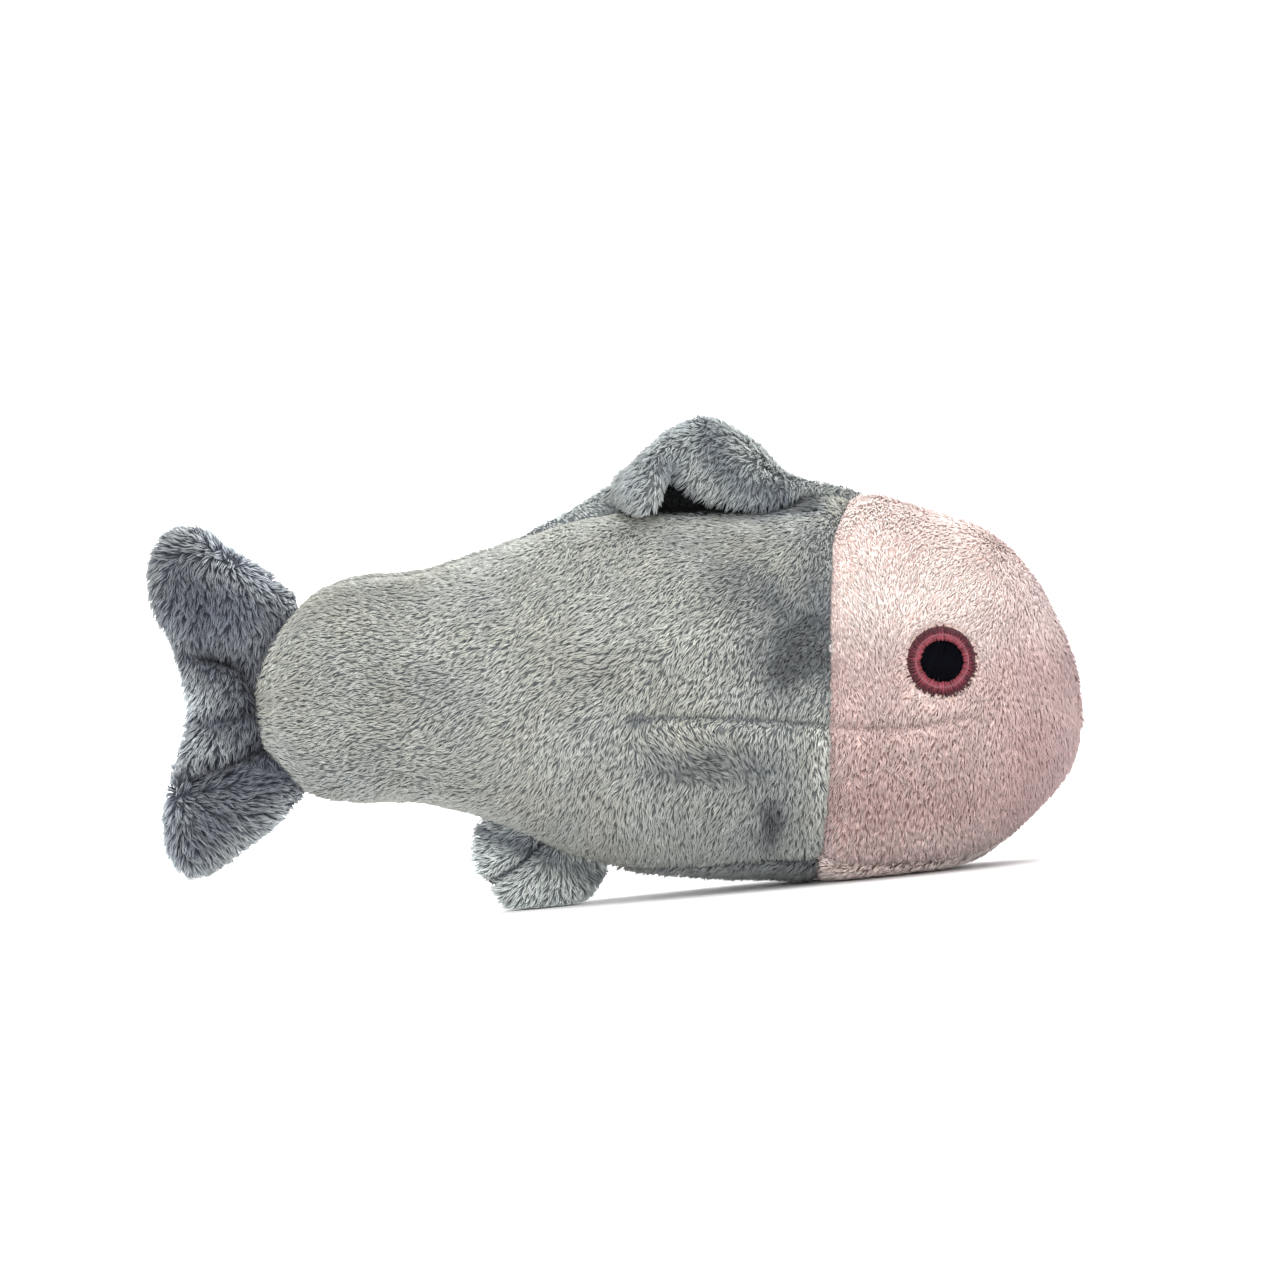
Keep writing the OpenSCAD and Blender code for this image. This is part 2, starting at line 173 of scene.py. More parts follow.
# ---------------------------------------------------------------- the body's shape
# x, height of the back, height of the belly, half width, half angle of the gusset
BODY = [
    (-70, .5, -.5, .3, 0), (-69.6, 3, -3.6, 1.8, 0), (-68.6, 6.4, -7.6, 3.6, 0), (-66.5, 10.5, -11, 6, 0), (-62.5, 16, -14.8, 8.2, 0),
    (-57.5, 20.8, -18, 10, 0), (-50, 23.7, -19.2, 12, 0), (-38, 24.9, -19.6, 14.5, 0), (-26, 28.7, -22.3, 18, 0),
    (-14, 33.0, -27.3, 21.5, 0), (-3, 35.6, -31.4, 24, .6), (8, 36.6, -33.2, 26, 12), (20, 37.2, -34, 27.2, 21),
    (32, 38.2, -34.4, 28, 27), (41, 39.2, -34.8, 28.2, 30), (50, 39.2, -35.2, 27.8, 29), (60, 37.2, -33.9, 26.6, 25),
    (69, 34.6, -30.9, 24, 18), (76, 30.2, -26.4, 20.5, 10), (82, 22.5, -21, 15.5, .6), (86.5, 13, -16, 10, 0),
    (88.8, 6, -12.2, 5.6, 0), (89.7, 1.5, -8, 2.8, 0), (90, -2.4, -3.4, .3, 0),
]
NECK, GUSSET_A, GUSSET_B = 14, 10, 19
NECK_X = 41.0
POWER = 2 / 2.3
DART = [(4, -2.3), (20, -2.4), (31, -3.0), (40.7, -3.7), (47, -4.2), (53.4, -4.3), (59, -3.6), (65.4, -2.2)]
EYE = (61.3, 7.6)
EYE_R = 6.7
PILE = 1.35          # from the cloth to the tips of the pile

FINE = 24
_rows = spline(BODY, FINE)
_rows[: GUSSET_A * FINE, 4] = 0
_rows[GUSSET_B * FINE + 1:, 4] = 0
_rows[:, 4] = np.maximum(_rows[:, 4], 0)
_len = np.concatenate([[0], np.cumsum(np.sqrt(
    np.diff(_rows[:, 0]) ** 2 + (np.abs(np.diff(_rows[:, 1])) / 2 + np.abs(np.diff(_rows[:, 2])) / 2) ** 2 + np.diff(_rows[:, 3]) ** 2))])
STEP = 1.15
_must = [GUSSET_A * FINE, NECK * FINE, GUSSET_B * FINE]
ST_ROWS = resample(_rows, _len, STEP, _must)
_x = ST_ROWS[:, 0]
I_NECK = int(np.argmin(abs(_x - NECK_X)))
I_A = int(np.argmin(abs(_x - BODY[GUSSET_A][0])))
I_B = int(np.argmin(abs(_x - BODY[GUSSET_B][0])))
ST_ROWS[:I_A, 4] = 0
ST_ROWS[I_B + 1:, 4] = 0
M_SIDE, M_GUSSET = 92, 26


def neck_shift(x, z):
    """The neck seam isn't quite upright: how far a point near it lies forward."""
    d = np.interp(z, [-36, -31, -20, -4, 20, 30, 33, 37, 41], [-1.9, -1.7, -.8, -.2, .1, .6, 1.3, 3.6, 6.4])
    return d * np.exp(-(((x - NECK_X) / 17) ** 2))


def body_point(row, a, side, off):
    """Point of the body at angle a in degrees, off mm under the tips of the pile. side is -1 right, 1 left."""
    r0, r1, r2, r3 = row[..., 0], row[..., 1], row[..., 2], row[..., 3]
    x = 10 + (r0 - 10) * (1 - off / 80)
    mid = (r1 + r2) / 2
    h = np.maximum((r1 - r2) / 2 - off, .25)
    w = np.maximum(r3 - off, .2)
    ca, sa = np.cos(np.radians(a)), np.sin(np.radians(a))
    y = side * w * np.sign(ca) * np.abs(ca) ** POWER
    z = mid + h * np.sign(sa) * np.abs(sa) ** POWER
    x = x + neck_shift(x, z)
    return np.stack([x, y, z], -1)


def side_angles(i0, i1):
    rows = ST_ROWS[i0:i1 + 1]
    j = np.linspace(0, 1, M_SIDE + 1)[None, :]
    edge = (-90 + rows[:, 4])[:, None]
    return rows[:, None, :], 90 + (edge - 90) * j


def gusset_angles(i0, i1):
    rows = ST_ROWS[i0:i1 + 1]
    j = np.linspace(-1, 1, M_GUSSET + 1)[None, :]
    return rows[:, None, :], -90 + rows[:, 4][:, None] * np.abs(j), np.where(j < 0, -1.0, 1.0)


def grid_frame(p):
    """Unit tangents along both ways of a grid, and the unit normal."""
    ti = np.gradient(p, axis=0)
    tj = np.gradient(p, axis=1)
    n = unit(np.cross(ti, tj))
    return unit(ti), unit(tj), n


def body_normal(i0, i1, a, side):
    """Outward normals of the plain body, the same for two panels where they meet."""
    i = np.arange(i0, i1 + 1)
    prev, nxt = ST_ROWS[np.maximum(i - 1, 0)][:, None, :], ST_ROWS[np.minimum(i + 1, len(ST_ROWS) - 1)][:, None, :]
    row = ST_ROWS[i][:, None, :]
    shape = a.shape + (5,)
    prev, nxt, row = (np.broadcast_to(r, shape) for r in (prev, nxt, row))
    d1 = body_point(nxt, a, side, PILE) - body_point(prev, a, side, PILE)
    d2 = body_point(row, a + 1.2, side, PILE) - body_point(row, a - 1.2, side, PILE)
    n = unit(np.cross(d1, d2))
    c = body_point(row, a, side, PILE)
    c = np.stack([0 * c[..., 0], c[..., 1], c[..., 2] - (row[..., 1] + row[..., 2]) / 2], -1)
    return np.where((n * c).sum(-1, keepdims=True) < 0, -n, n)


def lift(x, y, z, side, s_back, s_belly, on_gusset):
    """How far the cloth stands over or under its plain shape, in mm: seams, puckers and lumps of stuffing."""
    p = np.stack([x, y, z], -1)
    out = .50 * noise(p, 24, 1) + .22 * noise(p, 11, 2) + .12 * noise(p, 5.5, 3)
    # neck seam: a deep valley with rolled cloth on both sides
    s = x - NECK_X - neck_shift(np.full_like(x, NECK_X), z)
    out -= bump(s, 1.25, 1.15) * (1 - .6 * smooth(-22, -33, z)) * (1 - .5 * smooth(33, 38, z))
    out += bump(s + 4.6, .42, 2.6) + bump(s - 4.8, .55, 3.0)
    along = noise(np.stack([z * 0 + 3, y, z], -1), 4.2, 5)
    out += along * (.38 * np.exp(-np.abs(s) / 4.5))
    # back seam
    out -= bump(s_back, .55, 1.1) * (1 - .5 * smooth(-20, -40, x)) * (1 - .4 * smooth(66, 80, x))
    out += bump(s_back - 4, .3, 2.6)
    out -= .20 * np.exp(-((s_back - 9) / 4.5) ** 2) * smooth(-2, 5, x) * (1 - smooth(34, 40, x))
    rearward = smooth(2, -8, x) * smooth(-60, -50, x) * smooth(0, 1.4, s_back)
    out += np.where(side > 0, .62 * np.exp(-((s_back - 2.6) / 2.0) ** 2), -.30 * np.exp(-((s_back - 2.2) / 2.2) ** 2)) * rearward
    # the ends are stuffed firmly
    out += .75 * smooth(-42, -55, x) * smooth(-4, 8, np.abs(z)) + .35 * smooth(62, 80, x)
    out += noise(np.stack([x, y * 0, z * 0], -1), 3.6, 6) * .28 * np.exp(-s_back / 4)
    # belly seams
    out -= bump(s_belly, .85, 1.1) * (.35 + .65 * smooth(-12, -2, x)) * (1 - .6 * smooth(68, 80, x))
    out += .55 * smooth(2, -12, x) * smooth(-8, -16, z)
    out += noise(np.stack([x, y * 0, z * 0], -1), 4.0, 7) * .26 * np.exp(-s_belly / 4)
    # the dart on each side, with the cloth drawn in along it
    d, t = polyline_distance(x, z, DART)
    fade = smooth(0, .10, t) * (1 - smooth(.90, 1, t))
    sideways = np.abs(y) > 10
    out -= np.where(sideways, bump(d, 1.25, .95) * (.25 + .75 * fade), 0)
    out += np.where(sideways, (bump(d - 3.4, .35, 2.0)) * fade, 0)
    out += np.where(sideways, noise(np.stack([x, z * .25, y * 0], -1), 3.4, 8) * .42 * np.exp(-d / 4.5) * fade, 0)
    # a pucker where the dart meets the neck seam
    for (cx, cz, r, a) in ((38.2, -8.8, 2.2, .55), (37.6, -2.4, 2.4, .40), (44.6, -8.4, 2.4, .45), (44.2, -2.0, 2.2, .30)):
        out += np.where(sideways, a * np.exp(-((x - cx) ** 2 + (z - cz) ** 2) / r ** 2), 0)
    # soft hollow high on the flank, before the neck
    out -= np.where(sideways, .9 * np.exp(-(((x - 31) / 9) ** 2 + ((z - 17) / 12) ** 2)), 0)
    # the eye's embroidery draws the cloth in
    e = np.hypot(x - EYE[0], z - EYE[1])
    out -= np.where(sideways, .75 * (1 - smooth(EYE_R - 1.2, EYE_R + 2.0, e)), 0)
    return out


def body_grid(kind, i0, i1, side=-1):
    """Cloth grid: points, frame, and the distances to the seams."""
    if kind == "side":
        rows, a = side_angles(i0, i1)
        sd = np.full(a.shape, float(side))
    else:
        rows, a, sd = gusset_angles(i0, i1)
        sd = np.broadcast_to(sd, a.shape)
    rows = np.broadcast_to(rows, a.shape + (5,))
    p = body_point(rows, a, sd, PILE)
    n = body_normal(i0, i1, a, sd)
    run = np.concatenate([np.zeros((p.shape[0], 1)), np.cumsum(np.linalg.norm(np.diff(p, axis=1), axis=2), axis=1)], 1)
    if kind == "side":
        s_back, s_belly = run, run[:, -1:] - run
    else:
        s_back = np.full(run.shape, 50.0)
        s_belly = np.minimum(run, run[:, -1:] - run)
    l = lift(p[..., 0], p[..., 1], p[..., 2], sd, s_back, s_belly, kind != "side")
    q = p + n * l[..., None]
    ti, tj, n2 = grid_frame(q)
    n2 = np.where((n2 * n).sum(-1, keepdims=True) < 0, -n2, n2)
    return dict(p=q, n=n2, ti=ti, tj=tj, s_back=s_back, s_belly=s_belly, side=sd, base_n=n)


# ---------------------------------------------------------------- meshes
def mesh_from(name, verts, faces_quads=None, faces_tris=None, uv=None, attrs=None, smooth_shade=True):
    """A mesh object from arrays. uv holds one pair per loop, quads first and then triangles."""
    me = bpy.data.meshes.new(name)
    verts = np.asarray(verts, np.float32)
    quads = np.zeros((0, 4), np.int32) if faces_quads is None else np.asarray(faces_quads, np.int32)
    tris = np.zeros((0, 3), np.int32) if faces_tris is None else np.asarray(faces_tris, np.int32)
    me.vertices.add(len(verts))
    me.vertices.foreach_set("co", verts.ravel())
    loops = np.concatenate([quads.ravel(), tris.ravel()]).astype(np.int32)
    me.loops.add(len(loops))
    me.loops.foreach_set("vertex_index", loops)
    starts = np.concatenate([np.arange(len(quads)) * 4, len(quads) * 4 + np.arange(len(tris)) * 3]).astype(np.int32)
    me.polygons.add(len(starts))
    me.polygons.foreach_set("loop_start", starts)
    me.polygons.foreach_set("use_smooth", np.full(len(starts), bool(smooth_shade)))
    me.update(calc_edges=True)
    me.validate()
    if uv is not None:
        layer = me.uv_layers.new(name="OFBake")
        layer.uv.foreach_set("vector", np.asarray(uv, np.float32).ravel())
    for key, val in (attrs or {}).items():
        at = me.attributes.new(key, "FLOAT", "POINT")
        at.data.foreach_set("value", np.asarray(val, np.float32))
    ob = bpy.data.objects.new(name, me)
    bpy.context.scene.collection.objects.link(ob)
    return ob


def grid_quads(n, m, at=0, flip=False):
    i, j = np.meshgrid(np.arange(n - 1), np.arange(m - 1), indexing="ij")
    a = at + i * m + j
    q = np.stack([a, a + m, a + m + 1, a + 1], -1).reshape(-1, 4)
    return q[:, ::-1] if flip else q


def shell(name, g, thick, flip):
    """A closed panel of cloth between a grid and the same grid thick mm further in."""
    p, n = g["p"], g["n"]
    ni, nj = p.shape[:2]
    inner = p - n * thick
    verts = np.concatenate([p.reshape(-1, 3), inner.reshape(-1, 3)])
    o = ni * nj
    quads = [grid_quads(ni, nj, 0, flip), grid_quads(ni, nj, o, not flip)]

    def wall(ring):
        ring = np.asarray(ring)
        q = np.stack([ring[:-1], ring[1:], ring[1:] + o, ring[:-1] + o], -1)
        return q if flip else q[:, ::-1]
    top = np.arange(nj)
    bottom = (ni - 1) * nj + np.arange(nj)
    left = np.arange(ni) * nj
    right = left + nj - 1
    walls = [wall(top[::-1]), wall(bottom), wall(left), wall(right[::-1])]
    quads = np.concatenate(quads + walls)
    iu, ju = np.divmod(np.arange(o), nj)
    uv0 = np.stack([.01 + .47 * iu / (ni - 1), .03 + .96 * ju / (nj - 1)], -1)
    uv1 = np.stack([.52 + .47 * iu / (ni - 1), .03 + .96 * ju / (nj - 1)], -1)
    vuv = np.concatenate([uv0, uv1])
    uv = vuv[quads.ravel()].reshape(-1, 4, 2)
    nw = sum(len(w) for w in walls)
    k = np.arange(nw)
    u0, u1 = .01 + .98 * k / nw, .01 + .98 * (k + .9) / nw
    uv[-nw:] = np.stack([np.stack([u0, k * 0 + .002], -1), np.stack([u1, k * 0 + .002], -1), np.stack([u1, k * 0 + .018], -1), np.stack([u0, k * 0 + .018], -1)], 1)
    world = rest_on_floor(place(verts), .0016)
    return mesh_from(name, world, quads, None, uv.reshape(-1, 2), smooth_shade=True)


def fold_shade(ob, value):
    """Painted shade in a fold: how far the cloth is darkened there, from 0 to 1, at each point of the mesh."""
    value = np.clip(value, 0, 1).astype(np.float32)
    if len(value) == len(ob.data.vertices):
        ob.data.attributes.new("fold_shade", "FLOAT", "POINT").data.foreach_set("value", value)


# ---------------------------------------------------------------- pile
def scatter(g, density, keep=None):
    """Roots of tufts over a grid, about density per mm2, with the grid's values at each."""
    p = g["p"]
    d1 = p[1:, 1:] - p[:-1, :-1]
    d2 = p[1:, :-1] - p[:-1, 1:]
    area = np.linalg.norm(np.cross(d1, d2), axis=-1) / 2
    want = area * density
    count = np.floor(want + rng.random(want.shape)).astype(int)
    i, j = np.meshgrid(np.arange(p.shape[0] - 1), np.arange(p.shape[1] - 1), indexing="ij")
    i, j = np.repeat(i.ravel(), count.ravel()), np.repeat(j.ravel(), count.ravel())
    u, v = rng.random(len(i)), rng.random(len(i))
    wts = ((1 - u) * (1 - v), u * (1 - v), (1 - u) * v, u * v)

    def at(f):
        if f.ndim == 2:
            return wts[0] * f[i, j] + wts[1] * f[i + 1, j] + wts[2] * f[i, j + 1] + wts[3] * f[i + 1, j + 1]
        return sum(w[:, None] * f[ii, jj] for w, ii, jj in zip(wts, (i, i + 1, i, i + 1), (j, j, j + 1, j + 1)))
    s = {k: at(f) for k, f in g.items() if isinstance(f, np.ndarray)}
    for k in ("n", "ti", "tj"):
        s[k] = unit(s[k])
    if keep is not None:
        ok = keep(s)
        s = {k: f[ok] for k, f in s.items()}
    return s


LIMIT = 19800


def tufts(name, s, flow, length, rise, body, material, shade, width=.17, clump=.62, per_clump=4.2, finish=None, clamp=True, root_light=None, locks=None):
    """Tapered bent strands of pile from the roots in s. flow holds the way that each lies, as vectors."""
    n = len(s["p"])
    t = flow - s["n"] * (flow * s["n"]).sum(-1, keepdims=True)
    t = unit(t + 1e-3 * s["ti"])
    b = unit(np.cross(s["n"], t))
    ang = rng.normal(0, .30, n)
    t = t * np.cos(ang)[:, None] + b * np.sin(ang)[:, None]
    length = length * rng.normal(1, .11, n).clip(.6, 1.35)
    rise = (rise * rng.normal(1, .12, n)).clip(.15, .95)
    lie = np.sqrt(1 - rise ** 2)
    mid = s["p"] + s["n"] * (length * .52 * np.minimum(rise * 1.28, .93))[:, None] + t * (length * .52 * lie * .72)[:, None]
    tip = s["p"] + s["n"] * (length * rise)[:, None] + t * (length * lie)[:, None]
    # strands near a few longer ones lean into them
    odds = None if locks is None else locks / locks.sum()
    lead = np.sort(rng.choice(n, max(1, int(n / per_clump)), replace=False, p=odds))
    tree = KDTree(len(lead))
    for k, i in enumerate(lead):
        tree.insert(s["p"][i], k)
    tree.balance()
    near = np.array([tree.find(q)[1] for q in s["p"]])
    own = lead[near]
    pull = (clump * rng.uniform(.7, 1.15, n)).clip(0, .92)
    pull[lead] = 0
    tip2 = tip[own] + s["n"] * .10
    gap = np.linalg.norm(s["p"] - s["p"][own], axis=1)
    pull = pull * np.exp(-(gap / 2.2) ** 2)
    tip = tip + (tip2 - tip) * pull[:, None]
    mid = mid + (mid[own] - mid) * (pull * .45)[:, None]
    rnd = rng.random(n)
    rnd_c = rng.random(len(lead))[near]
    d1, d2 = unit(mid - s["p"]), unit(tip - mid)

    def ring(c, d, r):
        u = unit(np.cross(d, s["n"] + .01))
        v = np.cross(d, u)
        return [c + u * (r * math.cos(a))[:, None] + v * (r * math.sin(a))[:, None] for a in (0.3, 2.394, 4.489)]
    r = width * rng.uniform(.75, 1.25, n)
    root = s["p"] - s["n"] * .15
    rings = ring(root, d1, r) + ring(mid, unit(d1 + d2), r * .86) + [tip]
    v = np.stack(rings, 1)                     # n, 7, 3
    order = np.argsort(s["p"][:, 0], kind="stable")
    pieces = max(1, math.ceil(n / LIMIT))
    made = []
    for k in range(pieces):
        pick = order[k * n // pieces:(k + 1) * n // pieces]
        m = len(pick)
        base = np.arange(m) * 7
        tri = np.concatenate([
            np.stack([base + 3 + q, base + 3 + (q + 1) % 3, base + 6], -1) for q in range(3)] + [np.stack([base, base + 2, base + 1], -1)])
        quad = np.concatenate([np.stack([base + q, base + (q + 1) % 3, base + 3 + (q + 1) % 3, base + 3 + q], -1) for q in range(3)])
        side = math.ceil(math.sqrt(m))
        cu, cv = (np.arange(m) % side) / side, (np.arange(m) // side) / side
        c = 1 / side
        pad = .12

        def uvp(a, h):
            return np.stack([cu + c * (pad + (1 - 2 * pad) * a), cv + c * (pad + (1 - 2 * pad) * h)], -1)
        uvq = np.concatenate([np.stack([uvp(q / 3, 0.08), uvp((q + 1) / 3, 0.08), uvp((q + 1) / 3, .5), uvp(q / 3, .5)], 1) for q in range(3)])
        uvt = np.concatenate([np.stack([uvp(q / 3, .5), uvp((q + 1) / 3, .5), uvp((q + .5) / 3, 1)], 1) for q in range(3)]
                             + [np.stack([uvp(0, 0), uvp(1, 0), uvp(.5, .07)], 1)])
        w = place(v[pick].reshape(-1, 3))
        if clamp:
            w = rest_on_floor(w, .0002)
        rep = lambda f: np.repeat(f[pick], 7)
        al = np.tile([0, 0, 0, .5, .5, .5, 1.0], m)
        # painted light and shade: root_light moves the roots' colour towards the tips' where it is positive and
        # darkens it where it is negative
        if root_light is not None:
            al = np.clip(al + rep(root_light) * .45 * (1 - al), 0, 1)
        ob = mesh_from(f"{name}_{k + 1}" if pieces > 1 else name, w, quad, tri, np.concatenate([uvq.reshape(-1, 2), uvt.reshape(-1, 2)]),
                       dict(along=al, tuft=rep(rnd), lock=rep(rnd_c), shade=rep(shade)))
        ob.data.materials.append(material)
        if finish is None:
            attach(ob, body)
        else:
            finish(ob)
        made.append(ob)
    return made


# ---------------------------------------------------------------- materials
def node_tree(name):
    m = bpy.data.materials.new(name)
    m.use_nodes = True
    nt = m.node_tree
    nt.nodes.clear()
    out = nt.nodes.new("ShaderNodeOutputMaterial")
    bsdf = nt.nodes.new("ShaderNodeBsdfPrincipled")
    nt.links.new(bsdf.outputs[0], out.inputs[0])
    return m, nt, bsdf


def srgb(r, g, b):
    return tuple((c / 255 / 12.92) if c / 255 <= .04045 else ((c / 255 + .055) / 1.055) ** 2.4 for c in (r, g, b)) + (1.0,)


def add(nt, kind, **kw):
    n = nt.nodes.new(kind)
    for k, v in kw.items():
        setattr(n, k, v)
    return n


def mix_colour(nt, blend, fac, a, b):
    n = add(nt, "ShaderNodeMix", data_type="RGBA", blend_type=blend)
    for sock, val in ((n.inputs[0], fac), (n.inputs[6], a), (n.inputs[7], b)):
        if hasattr(val, "is_linked") or hasattr(val, "links"):
            nt.links.new(val, sock)
        else:
            sock.default_value = val
    return n.outputs[2]


def ramp(nt, fac, stops):
    n = add(nt, "ShaderNodeValToRGB")
    nt.links.new(fac, n.inputs[0])
    e = n.color_ramp.elements
    while len(e) < len(stops):
        e.new(.5)
    for k, (pos, col) in enumerate(stops):
        e[k].position = pos
        e[k].color = col
    return n.outputs[0]


def remap(nt, value, a, b, c, d):
    n = add(nt, "ShaderNodeMapRange")
    nt.links.new(value, n.inputs[0])
    for k, v in zip((1, 2, 3, 4), (a, b, c, d)):
        n.inputs[k].default_value = v
    return n.outputs[0]


def attr(nt, name):
    n = add(nt, "ShaderNodeAttribute", attribute_name=name, attribute_type="GEOMETRY")
    return n.outputs["Fac"]


def texture_noise(nt, scale, detail=3.0, rough=.55):
    tc = add(nt, "ShaderNodeTexCoord")
    n = add(nt, "ShaderNodeTexNoise")
    nt.links.new(tc.outputs["Object"], n.inputs["Vector"])
    n.inputs["Scale"].default_value = scale
    n.inputs["Detail"].default_value = detail
    n.inputs["Roughness"].default_value = rough
    return n.outputs["Fac"]


def times(nt, colour, value):
    """colour multiplied by a grey value."""
    n = add(nt, "ShaderNodeVectorMath", operation="SCALE")
    nt.links.new(colour, n.inputs[0])
    nt.links.new(value, n.inputs["Scale"])
    return n.outputs[0]


def fur_material(name, root, mid, tip, sheen, tint, spread=(.80, 1.18), shade_tint=(.80, .92, 1.0, 1), warm=((1, 1, .95, 1), (.96, .99, 1, 1)), shade_tint_at=(.5, 1.0)):
    m, nt, bsdf = node_tree(name)
    # painted shade: the pile's colour darkens from tip to root, standing in for the shade deep among the strands
    col = ramp(nt, attr(nt, "along"), [(0.0, root), (.42, mid), (1.0, tip)])
    col = times(nt, col, remap(nt, attr(nt, "tuft"), 0, 1, spread[0], spread[1]))
    col = times(nt, col, remap(nt, attr(nt, "lock"), 0, 1, .90, 1.10))
    col = times(nt, col, remap(nt, texture_noise(nt, 85, 3), .3, .7, .90, 1.08))
    col = times(nt, col, attr(nt, "shade"))
    # painted shade: where the shade attribute darkens the pile it also turns it cooler
    col = mix_colour(nt, "MULTIPLY", 1.0, col, ramp(nt, remap(nt, attr(nt, "shade"), shade_tint_at[0], shade_tint_at[1], 0, 1), [(0.0, shade_tint), (1.0, (1, 1, 1, 1))]))
    col = mix_colour(nt, "MULTIPLY", 1.0, col, ramp(nt, texture_noise(nt, 62, 2), [(.35, warm[0]), (.65, warm[1])]))
    nt.links.new(col, bsdf.inputs["Base Color"])
    nt.links.new(remap(nt, texture_noise(nt, 900, 2), .3, .7, .72, .95), bsdf.inputs["Roughness"])
    # the sheen fades where the shade attribute darkens the pile, as part of the painted shade
    nt.links.new(remap(nt, attr(nt, "shade"), .15, .75, 0.0, sheen), bsdf.inputs["Sheen Weight"])
    bsdf.inputs["Sheen Roughness"].default_value = .45
    bsdf.inputs["Sheen Tint"].default_value = tint
    bsdf.inputs["Specular IOR Level"].default_value = .25
    return m


def cloth_material(name, colour, dark):
    """The knitted ground of the plush, seen between the tufts."""
    m, nt, bsdf = node_tree(name)
    tc = add(nt, "ShaderNodeTexCoord")
    v = add(nt, "ShaderNodeTexVoronoi", feature="F1")
    nt.links.new(tc.outputs["Object"], v.inputs["Vector"])
    v.inputs["Scale"].default_value = 1400
    col = ramp(nt, v.outputs["Distance"], [(0.0, colour), (.55, colour), (1.0, dark)])
    col = times(nt, col, remap(nt, texture_noise(nt, 120, 3), .3, .7, .85, 1.1))
    # painted shade: the cloth is darker, and without sheen, where it lies in a fold
    col = times(nt, col, remap(nt, attr(nt, "fold_shade"), 0, 1, 1.0, .10))
    nt.links.new(col, bsdf.inputs["Base Color"])
    nt.links.new(remap(nt, texture_noise(nt, 600, 2), .3, .7, .8, .98), bsdf.inputs["Roughness"])
    nt.links.new(remap(nt, attr(nt, "fold_shade"), 0, 1, .2, 0), bsdf.inputs["Sheen Weight"])
    bsdf.inputs["Specular IOR Level"].default_value = .2
    b = add(nt, "ShaderNodeBump")
    b.inputs["Strength"].default_value = .5
    b.inputs["Distance"].default_value = .0003
    nt.links.new(v.outputs["Distance"], b.inputs["Height"])
    nt.links.new(b.outputs[0], bsdf.inputs["Normal"])
    return m


def thread_material(name, base, light, sheen=.25, rough=.45):
    m, nt, bsdf = node_tree(name)
    tc = add(nt, "ShaderNodeTexCoord")
    w = add(nt, "ShaderNodeTexWave", wave_type="BANDS", bands_direction="DIAGONAL")
    nt.links.new(tc.outputs["Object"], w.inputs["Vector"])
    w.inputs["Scale"].default_value = 1500
    w.inputs["Distortion"].default_value = 4
    w.inputs["Detail"].default_value = 2
    col = mix_colour(nt, "MIX", w.outputs["Fac"], base, light)
    col = times(nt, col, remap(nt, texture_noise(nt, 500, 2), .3, .7, .75, 1.2))
    nt.links.new(col, bsdf.inputs["Base Color"])
    nt.links.new(remap(nt, texture_noise(nt, 1500, 2), .3, .7, rough - .1, rough + .15), bsdf.inputs["Roughness"])
    bsdf.inputs["Sheen Weight"].default_value = sheen
    b = add(nt, "ShaderNodeBump")
    b.inputs["Strength"].default_value = .4
    b.inputs["Distance"].default_value = .0001
    nt.links.new(w.outputs["Fac"], b.inputs["Height"])
    nt.links.new(b.outputs[0], bsdf.inputs["Normal"])
    return m


def fibre_material(name, base, dark):
    m, nt, bsdf = node_tree(name)
    f = texture_noise(nt, 350, 6, .7)
    col = ramp(nt, f, [(.3, dark), (.6, base)])
    nt.links.new(col, bsdf.inputs["Base Color"])
    nt.links.new(remap(nt, f, .3, .7, .85, 1.0), bsdf.inputs["Roughness"])
    bsdf.inputs["Sheen Weight"].default_value = .3
    b = add(nt, "ShaderNodeBump")
    b.inputs["Strength"].default_value = .8
    b.inputs["Distance"].default_value = .001
    nt.links.new(f, b.inputs["Height"])
    nt.links.new(b.outputs[0], bsdf.inputs["Normal"])
    return m


GREY_FUR = fur_material("grey_pile", srgb(133, 136, 136), srgb(179, 181, 177), srgb(213, 214, 206), .25, srgb(240, 240, 234), (.80, 1.12), (.90, .935, 1.04, 1),
                        ((1, .997, .955, 1), (.965, .98, .995, 1)), (.40, .84))
DARK_FUR = fur_material("slate_pile", srgb(36, 38, 50), srgb(92, 95, 105), srgb(186, 191, 192), .3, srgb(225, 230, 236), (.62, 1.32), (.92, .93, 1.06, 1))
FIN_FUR = fur_material("fin_pile", srgb(88, 92, 98), srgb(144, 149, 152), srgb(198, 202, 200), .3, srgb(235, 238, 236), (.74, 1.20), (.88, .92, 1.05, 1))
PINK_FUR = fur_material("pink_pile", srgb(214, 188, 182), srgb(237, 226, 220), srgb(246, 240, 235), .25, srgb(255, 245, 239), (.90, 1.05),
                        (1.0, .76, .80, 1), ((1, 1, 1, 1), (1, .965, .955, 1)))
GREY_CLOTH = cloth_material("grey_ground", srgb(108, 112, 114), srgb(64, 67, 72))
DARK_CLOTH = cloth_material("slate_ground", srgb(56, 60, 70), srgb(30, 32, 38))
PINK_CLOTH = cloth_material("pink_ground", srgb(236, 212, 204), srgb(204, 168, 160))
MAROON = thread_material("maroon_floss", srgb(70, 22, 32), srgb(112, 40, 52), .1, .4)
ROSE = thread_material("rose_floss", srgb(94, 44, 53), srgb(124, 70, 80), .1, .5)
INK = thread_material("black_floss", srgb(3, 3, 7), srgb(8, 8, 13), 0, .6)
SEAM = thread_material("seam_thread", srgb(114, 118, 120), srgb(146, 149, 150), .2, .5)
